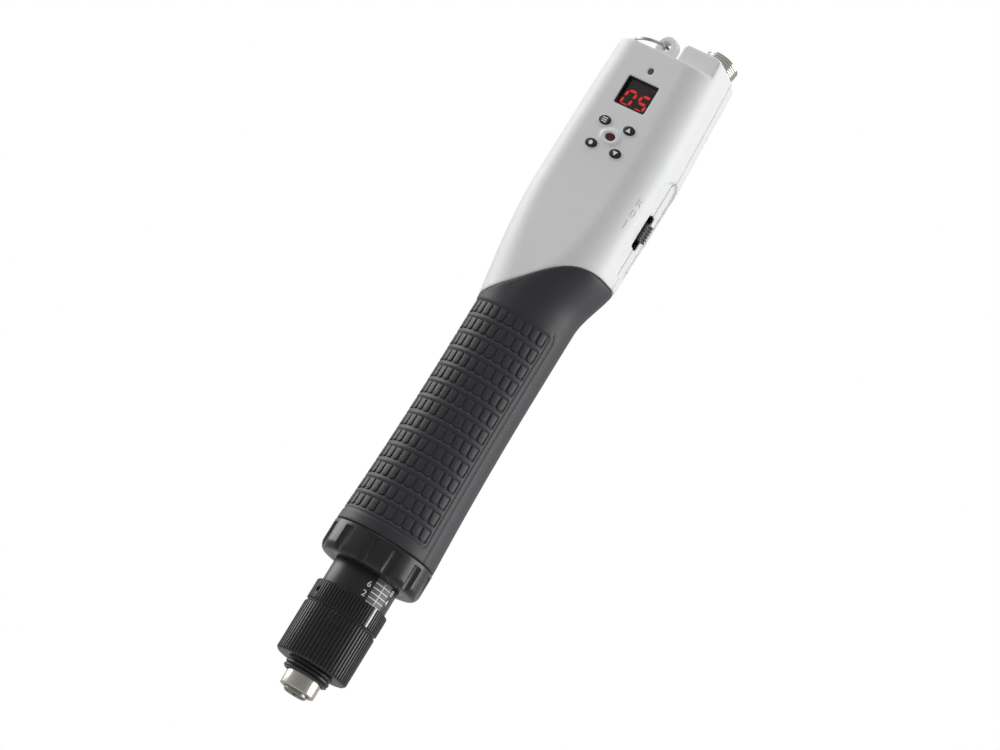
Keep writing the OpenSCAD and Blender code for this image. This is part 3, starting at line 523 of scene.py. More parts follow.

# ---- Neck sleeve ----
# Black-oxided tube under the grip nut, its torque scale filled white: a centre line, five cross
# lines and plain numbers from 2 to 8. Under the scale lies a thin lighter grey sheet, a painted
# highlight that stands in for the sheen of light on the black neck.
refine("neck_sleeve", black_oxide, 0.15)
neck_r = reach("neck_sleeve")
scale_azimuth = 66
scale_zero = ring_high + 0.2
scale_step = 1.8
# The lighter grey sheet under the scale is a painted highlight: the sheen of light on the black neck.
painted_highlight_grey = finish("painted_highlight_grey", (0.105, 0.107, 0.112), 0.42, 0.0, 0.3, 0.006, 0.12)
highlight_wide = 7.2
highlight_top = height("neck_sleeve")[1] - 2.6
panel = bent_sheet(
    [block(highlight_wide, highlight_top - ring_high + 1)], neck_r, 0.02, scale_azimuth,
    (highlight_top + ring_high - 1) / 2,
)
show(panel, "scale_panel", painted_highlight_grey, "housing")


def round_axis(tree, radius, turn, up):
    """The place at a radius, a turn from the front and a height about the drive axis."""
    side = count(tree, "MULTIPLY", radius, count(tree, "SINE", turn))
    behind = count(tree, "MULTIPLY", radius, count(tree, "COSINE", turn))
    front = count(tree, "MULTIPLY", behind, -1.0)
    return step(tree, "ShaderNodeCombineXYZ", {"X": side, "Y": front, "Z": up}).outputs[0]


line_tree, line_in, line_out = node_tree("scale_lines", [
    ("Lines", "NodeSocketInt", 5),
    ("Spacing", "NodeSocketFloat", 0.0018),
    ("Length", "NodeSocketFloat", 0.0072),
    ("Width", "NodeSocketFloat", 0.0003),
    ("Radius", "NodeSocketFloat", 0.0122),
    ("First", "NodeSocketFloat", 0.0384),
    ("Azimuth", "NodeSocketFloat", 1.15),
    ("Material", "NodeSocketMaterial", None),
])
line_row = step(line_tree, "GeometryNodeMeshLine", {
    "Count": line_in["Lines"],
    "Offset": step(line_tree, "ShaderNodeCombineXYZ", {"Y": line_in["Spacing"]}).outputs[0],
})
line_size = step(line_tree, "ShaderNodeCombineXYZ", {
    "X": line_in["Length"], "Y": line_in["Width"], "Z": 0.00006,
})
line_bar = step(line_tree, "GeometryNodeMeshCube", {
    "Size": line_size.outputs[0], "Vertices X": 20, "Vertices Y": 2, "Vertices Z": 2,
})
line_set = step(line_tree, "GeometryNodeInstanceOnPoints", {
    "Points": line_row.outputs["Mesh"], "Instance": line_bar.outputs["Mesh"],
})
line_real = step(line_tree, "GeometryNodeRealizeInstances", {"Geometry": line_set.outputs[0]})
line_at = step(line_tree, "ShaderNodeSeparateXYZ", {
    "Vector": step(line_tree, "GeometryNodeInputPosition").outputs[0],
})
line_turn = count(line_tree, "DIVIDE", line_at.outputs["X"], line_in["Radius"])
line_turn = count(line_tree, "ADD", line_turn, line_in["Azimuth"])
line_r = count(line_tree, "ADD", line_at.outputs["Z"], line_in["Radius"])
line_z = count(line_tree, "ADD", line_at.outputs["Y"], line_in["First"])
line_bent = step(line_tree, "GeometryNodeSetPosition", {
    "Geometry": line_real.outputs[0],
    "Position": round_axis(line_tree, line_r, line_turn, line_z),
})
line_paint = step(line_tree, "GeometryNodeSetMaterial", {
    "Geometry": line_bent.outputs[0], "Material": line_in["Material"],
})
line_tree.links.new(line_paint.outputs[0], line_out[0])
scale_lines = grown(line_tree, {
    "Radius": (neck_r + 0.02) * MM, "First": scale_zero * MM, "Spacing": scale_step * MM,
    "Azimuth": math.radians(scale_azimuth), "Material": white_fill,
})
show(scale_lines, "scale_lines", white_fill, "housing")
scale_line = bent_sheet(
    [block(0.3, 4 * scale_step + 2.4)], neck_r, 0.045, scale_azimuth, scale_zero + 2 * scale_step
)
show(scale_line, "scale_centre_line", white_fill, "housing")


def numeral(text, size, radius, thick, azimuth, height_mm):
    """A plain numeral laid round a cylinder, sizes in mm."""
    curve = bpy.data.curves.new("numeral", "FONT")
    curve.body = text
    curve.size = size
    curve.align_x = "CENTER"
    curve.align_y = "CENTER"
    curve.extrude = thick / 2
    curve.offset = 0.02
    mesh = evaluated(placed("numeral", curve))
    laid_round(mesh, radius, azimuth, height_mm)
    return mesh


def joined(meshes):
    """Several meshes as one."""
    work = bmesh.new()
    for mesh in meshes:
        work.from_mesh(mesh)
    made = bpy.data.meshes.new("joined")
    work.to_mesh(made)
    work.free()
    return made


right_turn = 23
left_turn = -25
scale_numbers = joined([
    numeral(
        str(2 * i), 3.1, neck_r + 0.02, 0.06,
        scale_azimuth + (right_turn if i % 2 == 0 else left_turn), scale_zero + i * scale_step,
    )
    for i in range(1, 5)
])
show(scale_numbers, "scale_numbers", white_fill, "housing")

# ---- Grip nut ----
# Black moulded and satin, with twelve finger grooves under a thin plain rim. It screws onto the
# housing's lower end and clamps the rubber sleeve and the nose tube's flange.
nut_satin = finish("nut_satin", (0.013, 0.013, 0.015), 0.27, 0.0, 0.4, 0.005, 0.2)
refine("grip_nut", nut_satin, 0.35)

# ---- Rubber grip ----
# One moulded sleeve of dark soft rubber over the handle. Its front carries a panel with a double
# outline and rows of small U-shaped pads, and its top edge runs in a wave against the housing.
grip_low = height("grip_sleeve")[0]
handle_length = 89.1
head_length = 104
widest_up = 69
flare_z = grip_low + handle_length
head_top = flare_z + head_length
widest_z = flare_z + widest_up
half_w = reach("front_housing")
waist_r = 17.2
foot_swell = 1.8
taper_length = 69
face_out = 14.5
back_out = 18.2
front_corner_r = 10.5
back_corner_r = 16


def eased(t):
    """A smooth step from 0 to 1."""
    t = np.clip(t, 0, 1)
    return t * t * (3 - 2 * t)


def grip_radius(z):
    """The handle's radius, widest beside the grip nut."""
    return waist_r + foot_swell * np.maximum(0, 1 - (z - grip_low) / taper_length) ** 2


def skin(t, z, inset=0.0):
    """Points of the outer form in mm. t runs from 0 to 4 round the section, a corner for each unit."""
    z = np.asarray(z, float)
    up = z - flare_z
    thin = np.maximum(0, z - widest_z) / (head_top - widest_z)
    r0 = grip_radius(z)
    swell = 1 - (1 - np.clip((up + 1) / 58, 0, 1)) ** 2
    left = r0 + (half_w - waist_r) * swell - 0.7 * thin - inset
    right = r0 + (half_w - waist_r) * eased((up - 7) / 21) - 1.9 * thin - inset
    front = r0 - (waist_r - face_out) * eased((up - 2) / 60) - inset
    back = r0 + (back_out - waist_r) * eased((up - 2) / 50) - inset
    near = r0 - (waist_r - front_corner_r) * eased((up + 2) / 50) - inset
    far = r0 - (waist_r - back_corner_r) * eased((up + 2) / 50) - inset
    corner = np.minimum(3, np.floor(t)).astype(int)
    turn = np.radians(90 * np.asarray(t, float))
    radius = np.where(corner < 2, far, near)
    cx = np.choose(corner, [right - far, far - left, near - left, right - near])
    cy = np.choose(corner, [back - far, back - far, near - front, near - front])
    return cx + radius * np.cos(turn), cy + radius * np.sin(turn)


def wave(x):
    """Height of the rubber's top edge at a distance from the axis."""
    return flare_z + 13.7 - 11.7 * np.cos(np.pi * np.clip((x + 17.8) / 39, 0, 1))


def ring_turns(each):
    """Places round a section with the same number of points on every corner."""
    inside = np.linspace(0, 1, each)
    return np.concatenate([k + np.minimum(inside, 0.999999) for k in range(4)])


def lofted(grid_x, grid_y, grid_z, name):
    """A closed tube through rows of points in mm; the last row joins the first."""
    rows, columns = grid_x.shape
    points = np.stack([grid_x, grid_y, grid_z], -1).reshape(-1, 3) * MM
    i, j = np.meshgrid(np.arange(rows), np.arange(columns), indexing="ij")
    k, m = (i + 1) % rows, (j + 1) % columns
    faces = np.stack([
        i * columns + j, i * columns + m, k * columns + m, k * columns + j
    ], -1).reshape(-1, 4)
    mesh = bpy.data.meshes.new(name)
    mesh.from_pydata(points.tolist(), [], faces.tolist())
    outward(mesh, 1e-7)
    return mesh


def rounded_distance(x, z, half_x, low, high, r):
    """Distance to a rounded rectangle's edge, negative inside."""
    dx = np.abs(x) - (half_x - r)
    dz = np.abs(z - (low + high) / 2) - ((high - low) / 2 - r)
    outside = np.hypot(np.maximum(dx, 0), np.maximum(dz, 0))
    return outside + np.minimum(np.maximum(dx, dz), 0) - r


pad_rows = 13
pad_columns = 12
pad_pitch = 3.34
row_pitch = 6.5
row_first = flare_z - 2.8
pad_high = 0.45


def panel_depth(x, z):
    """How deep the moulded panel lies under the grip's surface, in mm."""
    outer = rounded_distance(x, z, math.radians(78) * waist_r, grip_low - 8, flare_z + 1.3, 4)
    inner = rounded_distance(x, z, math.radians(69.5) * waist_r, grip_low + 4.5, flare_z - 0.2, 1.5)
    depth = 0.42 * np.exp(-(outer / 0.34) ** 2) + 0.36 * np.exp(-(inner / 0.3) ** 2)
    row = np.round((row_first - z) / row_pitch)
    row = np.clip(row, 0, pad_rows - 1)
    middle = row_first - row * row_pitch
    window = rounded_distance(
        x, z, pad_pitch * pad_columns / 2 + 0.1, middle - 2.45, middle + 2.45, 0.5
    )
    return np.maximum(depth, pad_high * eased(0.5 - window / 0.4))


around = ring_turns(73)
top_z = np.full_like(around, flare_z + 10)
for _ in range(40):
    top_z = 0.5 * top_z + 0.5 * (wave(skin(around, top_z)[0]) - 0.15)
lip = 0.7
lip_turns = np.radians([0, 30, 60])
grip_wall = 1.9
straight = flare_z + 0.6
straight_rows = 205
lower = np.concatenate([
    grip_low + lip * (1 - np.cos(lip_turns)), np.linspace(grip_low + lip, straight, straight_rows)
])
lower_in = np.concatenate([lip * (1 - np.sin(lip_turns)), np.zeros(straight_rows)])
rows = []
for z, inset in zip(lower, lower_in):
    level_z = np.full_like(around, z)
    azimuth = (around * 90 - 270 + 180) % 360 - 180
    depth = panel_depth(np.radians(azimuth) * waist_r, level_z)
    x, y = skin(around, level_z, inset)
    plain = np.hypot(x, y)
    rows.append((x * (1 - depth / plain), y * (1 - depth / plain), level_z))
for share in np.linspace(0, 1, 26)[1:]:
    level_z = straight + (top_z - lip - straight) * share
    rows.append((*skin(around, level_z), level_z))
for bend in (30, 60, 90):
    level_z = top_z - lip + lip * math.sin(math.radians(bend))
    rows.append((*skin(around, level_z, lip * (1 - math.cos(math.radians(bend)))), level_z))
for share in np.linspace(1, 0, 30):
    level_z = grip_low + (top_z - grip_low) * share
    rows.append((*skin(around, level_z, grip_wall), level_z))
grip_x, grip_y, grip_z = np.array(rows).transpose(1, 0, 2)
grip_mesh = lofted(grip_x, grip_y, grip_z, "grip")
smooth_by(grip_mesh, 60)
rubber = finish("rubber", (0.028, 0.029, 0.033), 0.5, 0.0, 0.28, 0.016, 0.1)
show(grip_mesh, "grip_sleeve_moulded", rubber, "housing", ["grip_sleeve"])

# ---- Grip pads ----
# The pads stand on the floor of each sunk row, level with the bands between the rows: a flat
# top edge, a narrow gap on each side and a rounded foot. They are moulded with the sleeve.
pad_outline = [(1.36, 2.12), (1.30, 0.6), (1.28, -0.9)]
pad_outline += [
    (0.28 + math.cos(math.radians(a)), -1.2 - math.sin(math.radians(a))) for a in (0, 30, 60, 90)
]
pad_outline += [(-x, y) for x, y in reversed(pad_outline)]


def drawn_in(outline, amount):
    """The outline shrunk towards its middle by an amount in mm."""
    return [
        (x - math.copysign(amount, x) * (abs(x) > 0.4), y - math.copysign(amount, y))
        for x, y in outline
    ]


pad_work = bmesh.new()
pad_rings = [
    [pad_work.verts.new((x * MM, y * MM, z * MM)) for x, y in drawn_in(pad_outline, amount)]
    for z, amount in ((-0.05, 0), (pad_high - 0.17, 0), (pad_high - 0.05, 0.05), (pad_high - 0.01, 0.16))
]
for one, two in zip(pad_rings, pad_rings[1:]):
    for i in range(len(one)):
        k = (i + 1) % len(one)
        pad_work.faces.new((one[i], one[k], two[k], two[i]))
pad_work.faces.new(pad_rings[-1])
pad_work.faces.new(list(reversed(pad_rings[0])))
bmesh.ops.recalc_face_normals(pad_work, faces=pad_work.faces)
pad_mesh = bpy.data.meshes.new("pad")
pad_work.to_mesh(pad_mesh)
pad_work.free()
pad_shape = placed("pad", pad_mesh)

pad_tree, pad_in, pad_out = node_tree("grip_pads", [
    ("Pad", "NodeSocketObject", None),
    ("Columns", "NodeSocketInt", pad_columns),
    ("Rows", "NodeSocketInt", pad_rows),
    ("Width", "NodeSocketFloat", 0.04),
    ("Height", "NodeSocketFloat", 0.08),
    ("Middle", "NodeSocketFloat", 0.1),
    ("Waist radius", "NodeSocketFloat", 0.0172),
    ("Flare", "NodeSocketFloat", 0.0018),
    ("Flare low", "NodeSocketFloat", 0.0589),
    ("Flare length", "NodeSocketFloat", 0.069),
    ("Sink", "NodeSocketFloat", 0.00045),
    ("Material", "NodeSocketMaterial", None),
])
pad_grid = step(pad_tree, "GeometryNodeMeshGrid", {
    "Size X": pad_in["Width"], "Size Y": pad_in["Height"],
    "Vertices X": pad_in["Columns"], "Vertices Y": pad_in["Rows"],
})
pad_info = step(pad_tree, "GeometryNodeObjectInfo", {"Object": pad_in["Pad"]})
pad_set = step(pad_tree, "GeometryNodeInstanceOnPoints", {
    "Points": pad_grid.outputs["Mesh"], "Instance": pad_info.outputs["Geometry"],
})
pad_real = step(pad_tree, "GeometryNodeRealizeInstances", {"Geometry": pad_set.outputs[0]})
pad_at = step(pad_tree, "ShaderNodeSeparateXYZ", {
    "Vector": step(pad_tree, "GeometryNodeInputPosition").outputs[0],
})
pad_z = count(pad_tree, "ADD", pad_at.outputs["Y"], pad_in["Middle"])
pad_share = count(pad_tree, "SUBTRACT", pad_z, pad_in["Flare low"])
pad_share = count(pad_tree, "DIVIDE", pad_share, pad_in["Flare length"])
pad_share = count(pad_tree, "MAXIMUM", count(pad_tree, "SUBTRACT", 1.0, pad_share))
pad_flare = count(pad_tree, "POWER", pad_share, 2.0)
pad_flare = count(pad_tree, "MULTIPLY", pad_flare, pad_in["Flare"])
pad_r = count(pad_tree, "ADD", pad_in["Waist radius"], pad_flare)
pad_r = count(pad_tree, "SUBTRACT", pad_r, pad_in["Sink"])
pad_r = count(pad_tree, "ADD", pad_r, pad_at.outputs["Z"])
pad_turn = count(pad_tree, "DIVIDE", pad_at.outputs["X"], pad_in["Waist radius"])
pad_bent = step(pad_tree, "GeometryNodeSetPosition", {
    "Geometry": pad_real.outputs[0],
    "Position": round_axis(pad_tree, pad_r, pad_turn, pad_z),
})
pad_paint = step(pad_tree, "GeometryNodeSetMaterial", {
    "Geometry": pad_bent.outputs[0], "Material": pad_in["Material"],
})
pad_tree.links.new(pad_paint.outputs[0], pad_out[0])
pads = grown(pad_tree, {
    "Pad": pad_shape,
    "Width": (pad_columns - 1) * pad_pitch * MM,
    "Height": (pad_rows - 1) * row_pitch * MM,
    "Middle": (row_first - (pad_rows - 1) * row_pitch / 2) * MM,
    "Flare low": grip_low * MM, "Sink": pad_high * MM, "Material": rubber,
})
bpy.data.objects.remove(pad_shape)
smooth_by(pads, 50)
show(pads, "grip_pads", rubber, "housing")

# ---- Housings ----
# Two injection-moulded halves in white satin plastic, parted along the side switch. The
# front half has the display, button and lamp openings; together they form the boss and recess.


def solid_between(levels, inset, name, each=25):
    """The outer form as a closed solid between its lowest and highest level."""
    turns = ring_turns(each)
    xs, ys = zip(*[skin(turns, np.full_like(turns, z), inset) for z in levels])
    middle = np.zeros_like(turns)
    xs = [middle, *xs, middle]
    ys = [middle, *ys, middle]
    zs = [levels[0], *levels, levels[-1]]
    grid_z = np.repeat(np.array(zs, float)[:, None], len(turns), 1)
    return lofted(np.array(xs), np.array(ys), grid_z, name)


def prism(outline, low, high, axis="Y"):
    """An outline in mm, (across, up), pushed along an axis between two places."""
    work = bmesh.new()
    rings = []
    for place in (low, high):
        if axis == "Y":
            rings.append([work.verts.new((x * MM, place * MM, z * MM)) for x, z in outline])
        else:
            rings.append([work.verts.new((place * MM, x * MM, z * MM)) for x, z in outline])
    n = len(outline)
    for i in range(n):
        k = (i + 1) % n
        work.faces.new((rings[0][i], rings[0][k], rings[1][k], rings[1][i]))
    work.faces.new(rings[0])
    work.faces.new(list(reversed(rings[1])))
    bmesh.ops.recalc_face_normals(work, faces=work.faces)
    mesh = bpy.data.meshes.new("prism")
    work.to_mesh(mesh)
    work.free()
    return mesh


def fan(cx, cz, r, start, end, parts=14):
    """Points along an arc, in degrees."""
    angles = [math.radians(start + (end - start) * i / parts) for i in range(parts + 1)]
    return [(cx + r * math.cos(a), cz + r * math.sin(a)) for a in angles]


def oval(a, b, x=0.0, z=0.0, parts=40):
    """Points round an ellipse."""
    angles = [2 * math.pi * i / parts for i in range(parts)]
    return [(x + a * math.cos(q), z + b * math.sin(q)) for q in angles]


boss_top = head_top + 7.6
face_y = -face_out
split_y = 3.0
seam = 0.03
housing_wall = 1.4
head_corner = 7
boss_corner = 4.5
levels = np.concatenate([
    np.linspace(flare_z - 1, flare_z + 62, 54), np.linspace(flare_z + 64, boss_top + 4, 30)
])
left_edge = -(half_w - 0.7)
corner_z = head_top - head_corner
head_shape = [(-30, 100), (-30, corner_z)]
head_shape += fan(left_edge + head_corner, corner_z, head_corner, 180, 90)
head_shape += [(30, head_top), (30, 100)]
right_edge = float(skin(np.array([0.0]), np.array([boss_top - boss_corner]))[0][0])
boss_shape = [(3, head_top - 12)] + fan(5, boss_top - 2, 2, 180, 90)
boss_shape += fan(right_edge - boss_corner, boss_top - boss_corner, boss_corner, 90, 0)
boss_shape += [(right_edge + 5, boss_top - boss_corner), (right_edge + 5, head_top - 12)]
tilt = math.radians(16)
slope_place = Matrix.Translation((0, -9 * MM, boss_top * MM)) @ Matrix.Rotation(-tilt, 4, "X")


def slab(size, centre, place=None):
    """A box in mm, by its size and centre."""
    wide, deep, high = size
    x, y, z = centre
    mesh = prism(block(wide, high, x, z), y - deep / 2, y + deep / 2)
    if place is not None:
        mesh.transform(place)
    return mesh


def drum(r, low, high, place, parts=64):
    """A cylinder in mm along +Z of a place."""
    work = bmesh.new()
    bmesh.ops.create_cone(
        work, cap_ends=True, segments=parts, radius1=r * MM, radius2=r * MM, depth=(high - low) * MM,
        matrix=place @ Matrix.Translation((0, 0, (low + high) / 2 * MM)),
    )
    mesh = bpy.data.meshes.new("drum")
    work.to_mesh(mesh)
    work.free()
    return mesh


def trimmed(mesh, z, keep_above):
    """The part of a closed mesh above or below a height in mm, closed again."""
    work = bmesh.new()
    work.from_mesh(mesh)
    bmesh.ops.bisect_plane(
        work, geom=work.verts[:] + work.edges[:] + work.faces[:], dist=1e-7,
        plane_co=(0, 0, z * MM), plane_no=(0, 0, 1), clear_inner=keep_above, clear_outer=not keep_above,
    )
    bmesh.ops.holes_fill(work, edges=[e for e in work.edges if e.is_boundary])
    bmesh.ops.recalc_face_normals(work, faces=work.faces)
    made = bpy.data.meshes.new("trimmed")
    work.to_mesh(made)
    work.free()
    return made


boss = cut(prism(boss_shape, -9, 60), [slab((120, 200, 60), (0, 0, 30), slope_place)])
envelope = cut(prism(head_shape, -60, 60), [boss], "UNION")
wave_x = np.linspace(-30, 30, 121)
wave_shape = [(-30, 100)] + [(float(x), float(wave(x)) + 0.15) for x in wave_x] + [(30, 100)]
button_z = head_top - 34.5
switch_z = head_top - 56
eye = (-5.6, head_top + 4.6)
connector_place = Matrix.Translation(((half_w - 10.6) * MM, -9 * MM, boss_top * MM))
connector_place = connector_place @ Matrix.Rotation(-tilt, 4, "X")
connector_place = connector_place @ Matrix.Translation((0, 12.8 * MM, 0))
recess_high = head_top - 36
recess_low = head_top - 73.5
recess_r = 8.3
recess_corner = 6
recess_half = recess_r - recess_corner
recess_shape = fan(split_y, recess_high - recess_r, recess_r, 0, 180)
for side, start in ((-1, 180), (1, 270)):
    recess_shape += fan(
        split_y + side * recess_half, recess_low + recess_corner, recess_corner, start, start + 90
    )
recess = cut(prism(recess_shape, 10, 40, "X"), [solid_between(levels, 1.2, "recess_floor")])
hollow_shape = [(-30, 100), (-30, corner_z)]
hollow_shape += fan(left_edge + head_corner, corner_z, head_corner - housing_wall, 180, 90)
hollow_shape += [(30, head_top - housing_wall), (30, 100)]
hollow = solid_between(np.concatenate([[flare_z - 4], levels]), housing_wall, "hollow")
hollow = cut(hollow, [prism(hollow_shape, -60, 60)], "INTERSECT")
skin_mesh = cut(solid_between(levels, 0.0, "skin"), [envelope], "INTERSECT")
skin_mesh = cut(skin_mesh, [prism(wave_shape, -60, 60), recess, hollow])
button_side = 5.2
button_rise = 4.6
button_places = [
    (x, button_z + z) for x in (-button_side, button_side) for z in (-button_rise, button_rise)
]
lamp_hole = oval(2.05, 1.4, 0, button_z)
through = (-20, -8)
skin_mesh = cut(skin_mesh, [
    slab((12.7, 8, 10.6), (0, -14, head_top - 17.3)),
    prism(oval(1.15, 1.15, 0, head_top - 7.9), *through),
    prism(lamp_hole, *through),
    *[prism(oval(2.45, 1.65, x, z), *through) for x, z in button_places],
    slab((16, 4.4, 12.7), (20, split_y, switch_z)),
    drum(6.1, -20, 12, connector_place),
])
lug_shape = [(eye[0] - 3.8, head_top - 2)] + fan(*eye, 3.8, 180, 0) + [(eye[0] + 3.8, head_top - 2)]
lug = cut(prism(lug_shape, -5, -1), [prism(oval(1.6, 1.6, *eye), -6, 0)])
bezel = cut(prism(oval(3.9, 2.7, 0, button_z), -15.1, -13.6), [prism(lamp_hole, *through)])


def moulded(node, sides, extras):
    """A housing half: its smooth skin over its packed inside, run together with soft moulded edges."""
    core = plain_copy(node)
    waist = flare_z - 6
    lower = trimmed(core, waist, False)
    inside = trimmed(core, waist, True)
    inside = modified(inside, ("DISPLACE", {"strength": -0.12 * MM, "mid_level": 0.0}))
    half = cut(skin_mesh, [slab((100, 100, 300), (0, sides, 200))], "INTERSECT")
    whole = joined([inside, half, *extras])
    whole = modified(
        whole,
        ("REMESH", {"mode": "VOXEL", "voxel_size": 0.4 * MM, "adaptivity": 0.0}),
        ("SMOOTH", {"factor": 0.5, "iterations": 5}),
    )
    smooth_by(whole, 70)
    smooth_by(lower, 30)
    return joined([whole, lower])


white_plastic = finish("white_plastic", (0.80, 0.805, 0.81), 0.42, 0.0, 0.35, 0.005, 0.012)
front_half = moulded("front_housing", -50 + split_y - seam, [lug, bezel])
show(front_half, "front_housing_moulded", white_plastic, "housing", ["front_housing"])
screw_x = half_w - 7.7
pockets = [
    prism(oval(2.8, 2.8, x, head_top - down), 9.5, 30) for x in (-screw_x, screw_x) for down in (14, 70)
]
skin_mesh = cut(skin_mesh, pockets)
rear_half = moulded("rear_housing", 50 + split_y + seam, [])
show(rear_half, "rear_housing_moulded", white_plastic, "housing", ["rear_housing"])

# ---- Display ----
# Two red segment digits on a black module, behind a smoked acrylic window that sits a little
# below the housing's face. A thin black liner closes the opening's sides.
black_gloss = finish("black_gloss", (0.012, 0.012, 0.013), 0.25, 0.0, 0.6, 0.003, 0.1)
paint(black_gloss, "display_module")
window_low, window_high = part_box("display_window")
smoked = finish("smoked_acrylic", (0.36, 0.24, 0.24), 0.04, 0.0, 2.0, 0.0002, 0.02)
tuned(smoked, {"Transmission Weight": 1.0, "IOR": 1.45})
paint(smoked, "display_window")
window_z = (window_low.z + window_high.z) / 2 / MM
liner_outer = prism(block(12.66, 10.56, 0, window_z), -14.45, -12.3)
liner_inner = prism(block(11.9, 9.8, 0, window_z), -15, -12.0)
liner = cut(liner_outer, [liner_inner])
show(liner, "display_liner", black_gloss, "housing")

glow = finish("segment_glow", (0.6, 0.03, 0.02), 0.4, 0.0, 0.8, 0.001, 0.1)
tuned(glow, {"Emission Color": (1.0, 0.055, 0.03, 1), "Emission Strength": 1.6})


def segments(lit, x, z, wide, high, thick):
    """The lit bars of one slanted seven-segment digit, as outlines in mm."""
    gap = thick * 0.62
    places = {
        "a": (0, high / 2, True), "g": (0, 0, True), "d": (0, -high / 2, True),
        "f": (-wide / 2, high / 4, False), "b": (wide / 2, high / 4, False),
        "e": (-wide / 2, -high / 4, False), "c": (wide / 2, -high / 4, False),
    }
    bars = []
    for name in lit:
        px, pz, flat = places[name]
        run = (wide if flat else high / 2) / 2 - gap * 0.55
        t = thick / 2
        bar = [(-run, 0), (-run + t, t), (run - t, t), (run, 0), (run - t, -t), (-run + t, -t)]
        if not flat:
            bar = [(v, u) for u, v in bar]
        bars.append([(x + px + u + 0.16 * (pz + v), z + pz + v) for u, v in bar])
    return bars


digit_z = head_top - 19.1
digit_size = (3.5, 5.5, 0.95)
digit_bars = segments("abcdef", -3.1, digit_z, *digit_size)
digit_bars += segments("afgcd", 2.7, digit_z, *digit_size)
digits = joined([prism(bar, -12.32, -12.2) for bar in digit_bars])
show(digits, "display_digits", glow, "housing")

# ---- Lamps ----
# A dark status lamp above the display, and a red one in the raised oval among the buttons.
lamp_smoke = finish("lamp_smoke", (0.11, 0.085, 0.08), 0.2, 0.0, 0.5, 0.004, 0.3)
paint(lamp_smoke, "status_led")
lamp_red = finish("lamp_red", (0.028, 0.003, 0.003), 0.18, 0.0, 0.5, 0.004, 0.3)
tuned(lamp_red, {"Emission Color": (0.5, 0.01, 0.01, 1), "Emission Strength": 0.05})
paint(lamp_red, "centre_led")

# ---- Buttons ----
# Four black moulded ovals with soft edges in thin white rims. Each has a plain white mark: bars
# for the program, a dot to select, and arrows up and down.
button_black = finish("button_black", (0.016, 0.016, 0.018), 0.3, 0.0, 0.5, 0.004, 0.15)


def arrow(way):
    """A triangle on a right-hand button that points up for 1 and down for -1."""
    foot = button_z + 3.9 * way
    return [(button_side - 1, foot), (button_side + 1, foot), (button_side, button_z + 5.5 * way)]


bars_z = button_z + button_rise
button_marks = {
    "button_program": [block(2.1, 0.36, -button_side, bars_z + z) for z in (-0.72, 0, 0.72)],
    "button_up": [arrow(1)],
    "button_select": [oval(0.78, 0.78, -button_side, button_z - button_rise, 24)],
    "button_down": [arrow(-1)],
}
for button, marks in button_marks.items():
    refine(button, button_black, 0.28)
    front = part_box(button)[0].y / MM
    mark = joined([prism(outline, front - 0.03, front + 0.05) for outline in marks])
    show(mark, button + "_mark", white_fill, nodes[button]["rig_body"])
rims = []
for x, z in button_places:
    rim = prism(oval(2.85, 2.05, x, z), face_y - 0.22, face_y + 0.3)
    rims.append(cut(rim, [prism(oval(2.46, 1.66, x, z), -16, -13)]))
rim_mesh = broken_edges(joined(rims), 0.1)
show(rim_mesh, "button_rims", white_plastic, "housing")

# ---- Direction switch ----
# A ribbed black slider in the slot on the side; it stands in the recess and has three stops.
refine("direction_slider", button_black, 0.12)
paint(black_gloss, "direction_switch", "button_switches", "start_switch")

# The legend on the corner beside it is moulded with the housing: R, 0 and F, barely raised.
legend_azimuth = 61
legend_z = switch_z + 1.7
legend_pitch = 4.3
legend = []
for letter, rank in (("R", 1), ("0", 0), ("F", -1)):
    z = legend_z + legend_pitch * rank
    raised = numeral(letter, 4.0, front_corner_r, 0.36, legend_azimuth, z)
    corner_x, corner_y = skin(np.array([3 + legend_azimuth / 90]), np.array([z]))
    corner_x = float(corner_x[0]) - front_corner_r * math.sin(math.radians(legend_azimuth))
    corner_y = float(corner_y[0]) + front_corner_r * math.cos(math.radians(legend_azimuth))
    raised.transform(Matrix.Translation((corner_x * MM, corner_y * MM, 0)))
    legend.append(raised)
show(joined(legend), "switch_legend", white_plastic, "housing")

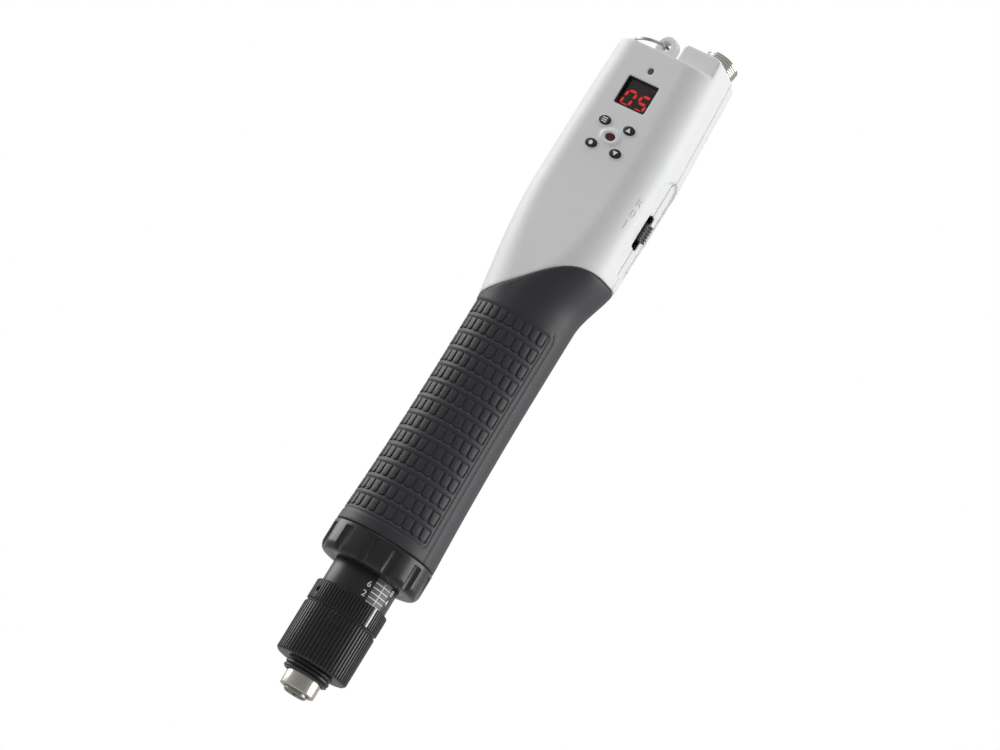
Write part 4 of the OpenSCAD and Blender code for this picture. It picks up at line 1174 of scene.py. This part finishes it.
# ---- Power connector ----
# Nickel-plated barrel with a fine thread for the lead's ring nut, a black insert with five gold
# pins, and a hexagon nut inside that holds it in the leaning boss.
thread = coil(5, 6.42, 0.36, 0.5, 5.6, 48, 4)
thread.transform(connector_place)
connector_mesh = cut(plain_copy("connector_shell"), [thread])
smooth_by(connector_mesh, 30)
show(connector_mesh, "connector_threaded", nickel, "housing", ["connector_shell"])
paint(nickel, "connector_nut")
paint(black_gloss, "connector_insert")
gold = finish("gold", (0.83, 0.60, 0.26), 0.22, 1, 0.5, 0.003, 0.05)
paint(gold, "connector_pins")

# ---- Hanger ring ----
# A split ring of spring wire, two turns side by side, that hangs in the ear on the head.
ring_wire = finish("ring_wire_steel", (0.42, 0.40, 0.37), 0.22, 1, 0.6, 0.003, 0.12)
ring_turns_wound = 1.96
ring_r = 6.2
ring_half = 0.74
ring_mesh = coil(ring_turns_wound, ring_r, 0.38, -ring_half, ring_half, 72, 16)
ring_place = Matrix.Translation((eye[0] * MM, -3 * MM, eye[1] * MM))
ring_place = ring_place @ Matrix.Rotation(math.radians(-15), 4, "Y")
ring_mesh.transform(ring_place @ Matrix.Translation((-ring_r * MM, 0, 0)))
show(ring_mesh, "hanger_ring_wound", ring_wire, "hanger", ["hanger_ring"])

# ---- Screws ----
# Four black cross-head screws in deep pockets at the back pull the housings together.
refine("housing_screws", black_oxide, 0.12)

# ---- Drive ----
# The motor, its planetary gears, the clutch and the push rod, all inside the handle: bright
# steel, ground gears, a dark magnet and stator, and enamelled copper windings.
bare_steel = finish("bare_steel", (0.40, 0.40, 0.40), 0.35, 1, 0.5, 0.005, 0.1, (0.4, 0.4, 4))
paint(bare_steel, "gear_case", "ring_gear", "motor_flange", "motor_can", "motor_cap", "motor_shaft",
      "planet_carrier", "clutch_plate", "start_rod")
gear_steel = finish("gear_steel", (0.46, 0.42, 0.33), 0.3, 1, 0.4, 0.004, 0.1)
paint(gear_steel, "motor_pinion", "planet_gear_1", "planet_gear_2", "planet_gear_3")
laminated = finish("laminated_iron", (0.10, 0.10, 0.11), 0.45, 1, 0.35, 0.012, 0.2, (0.2, 0.2, 5))
paint(laminated, "motor_stator", "rotor_magnet")
copper = finish("copper_wire", (0.62, 0.26, 0.11), 0.3, 1, 0.4, 0.03, 0.15, (0.2, 0.2, 4))
paint(copper, "motor_windings")
spring("start_spring", 0.25, 7, spring_wire)
board_green = finish("board_green", (0.022, 0.12, 0.045), 0.4, 0.0, 0.5, 0.01, 0.25)
paint(board_green, "circuit_board", "sensor_board")
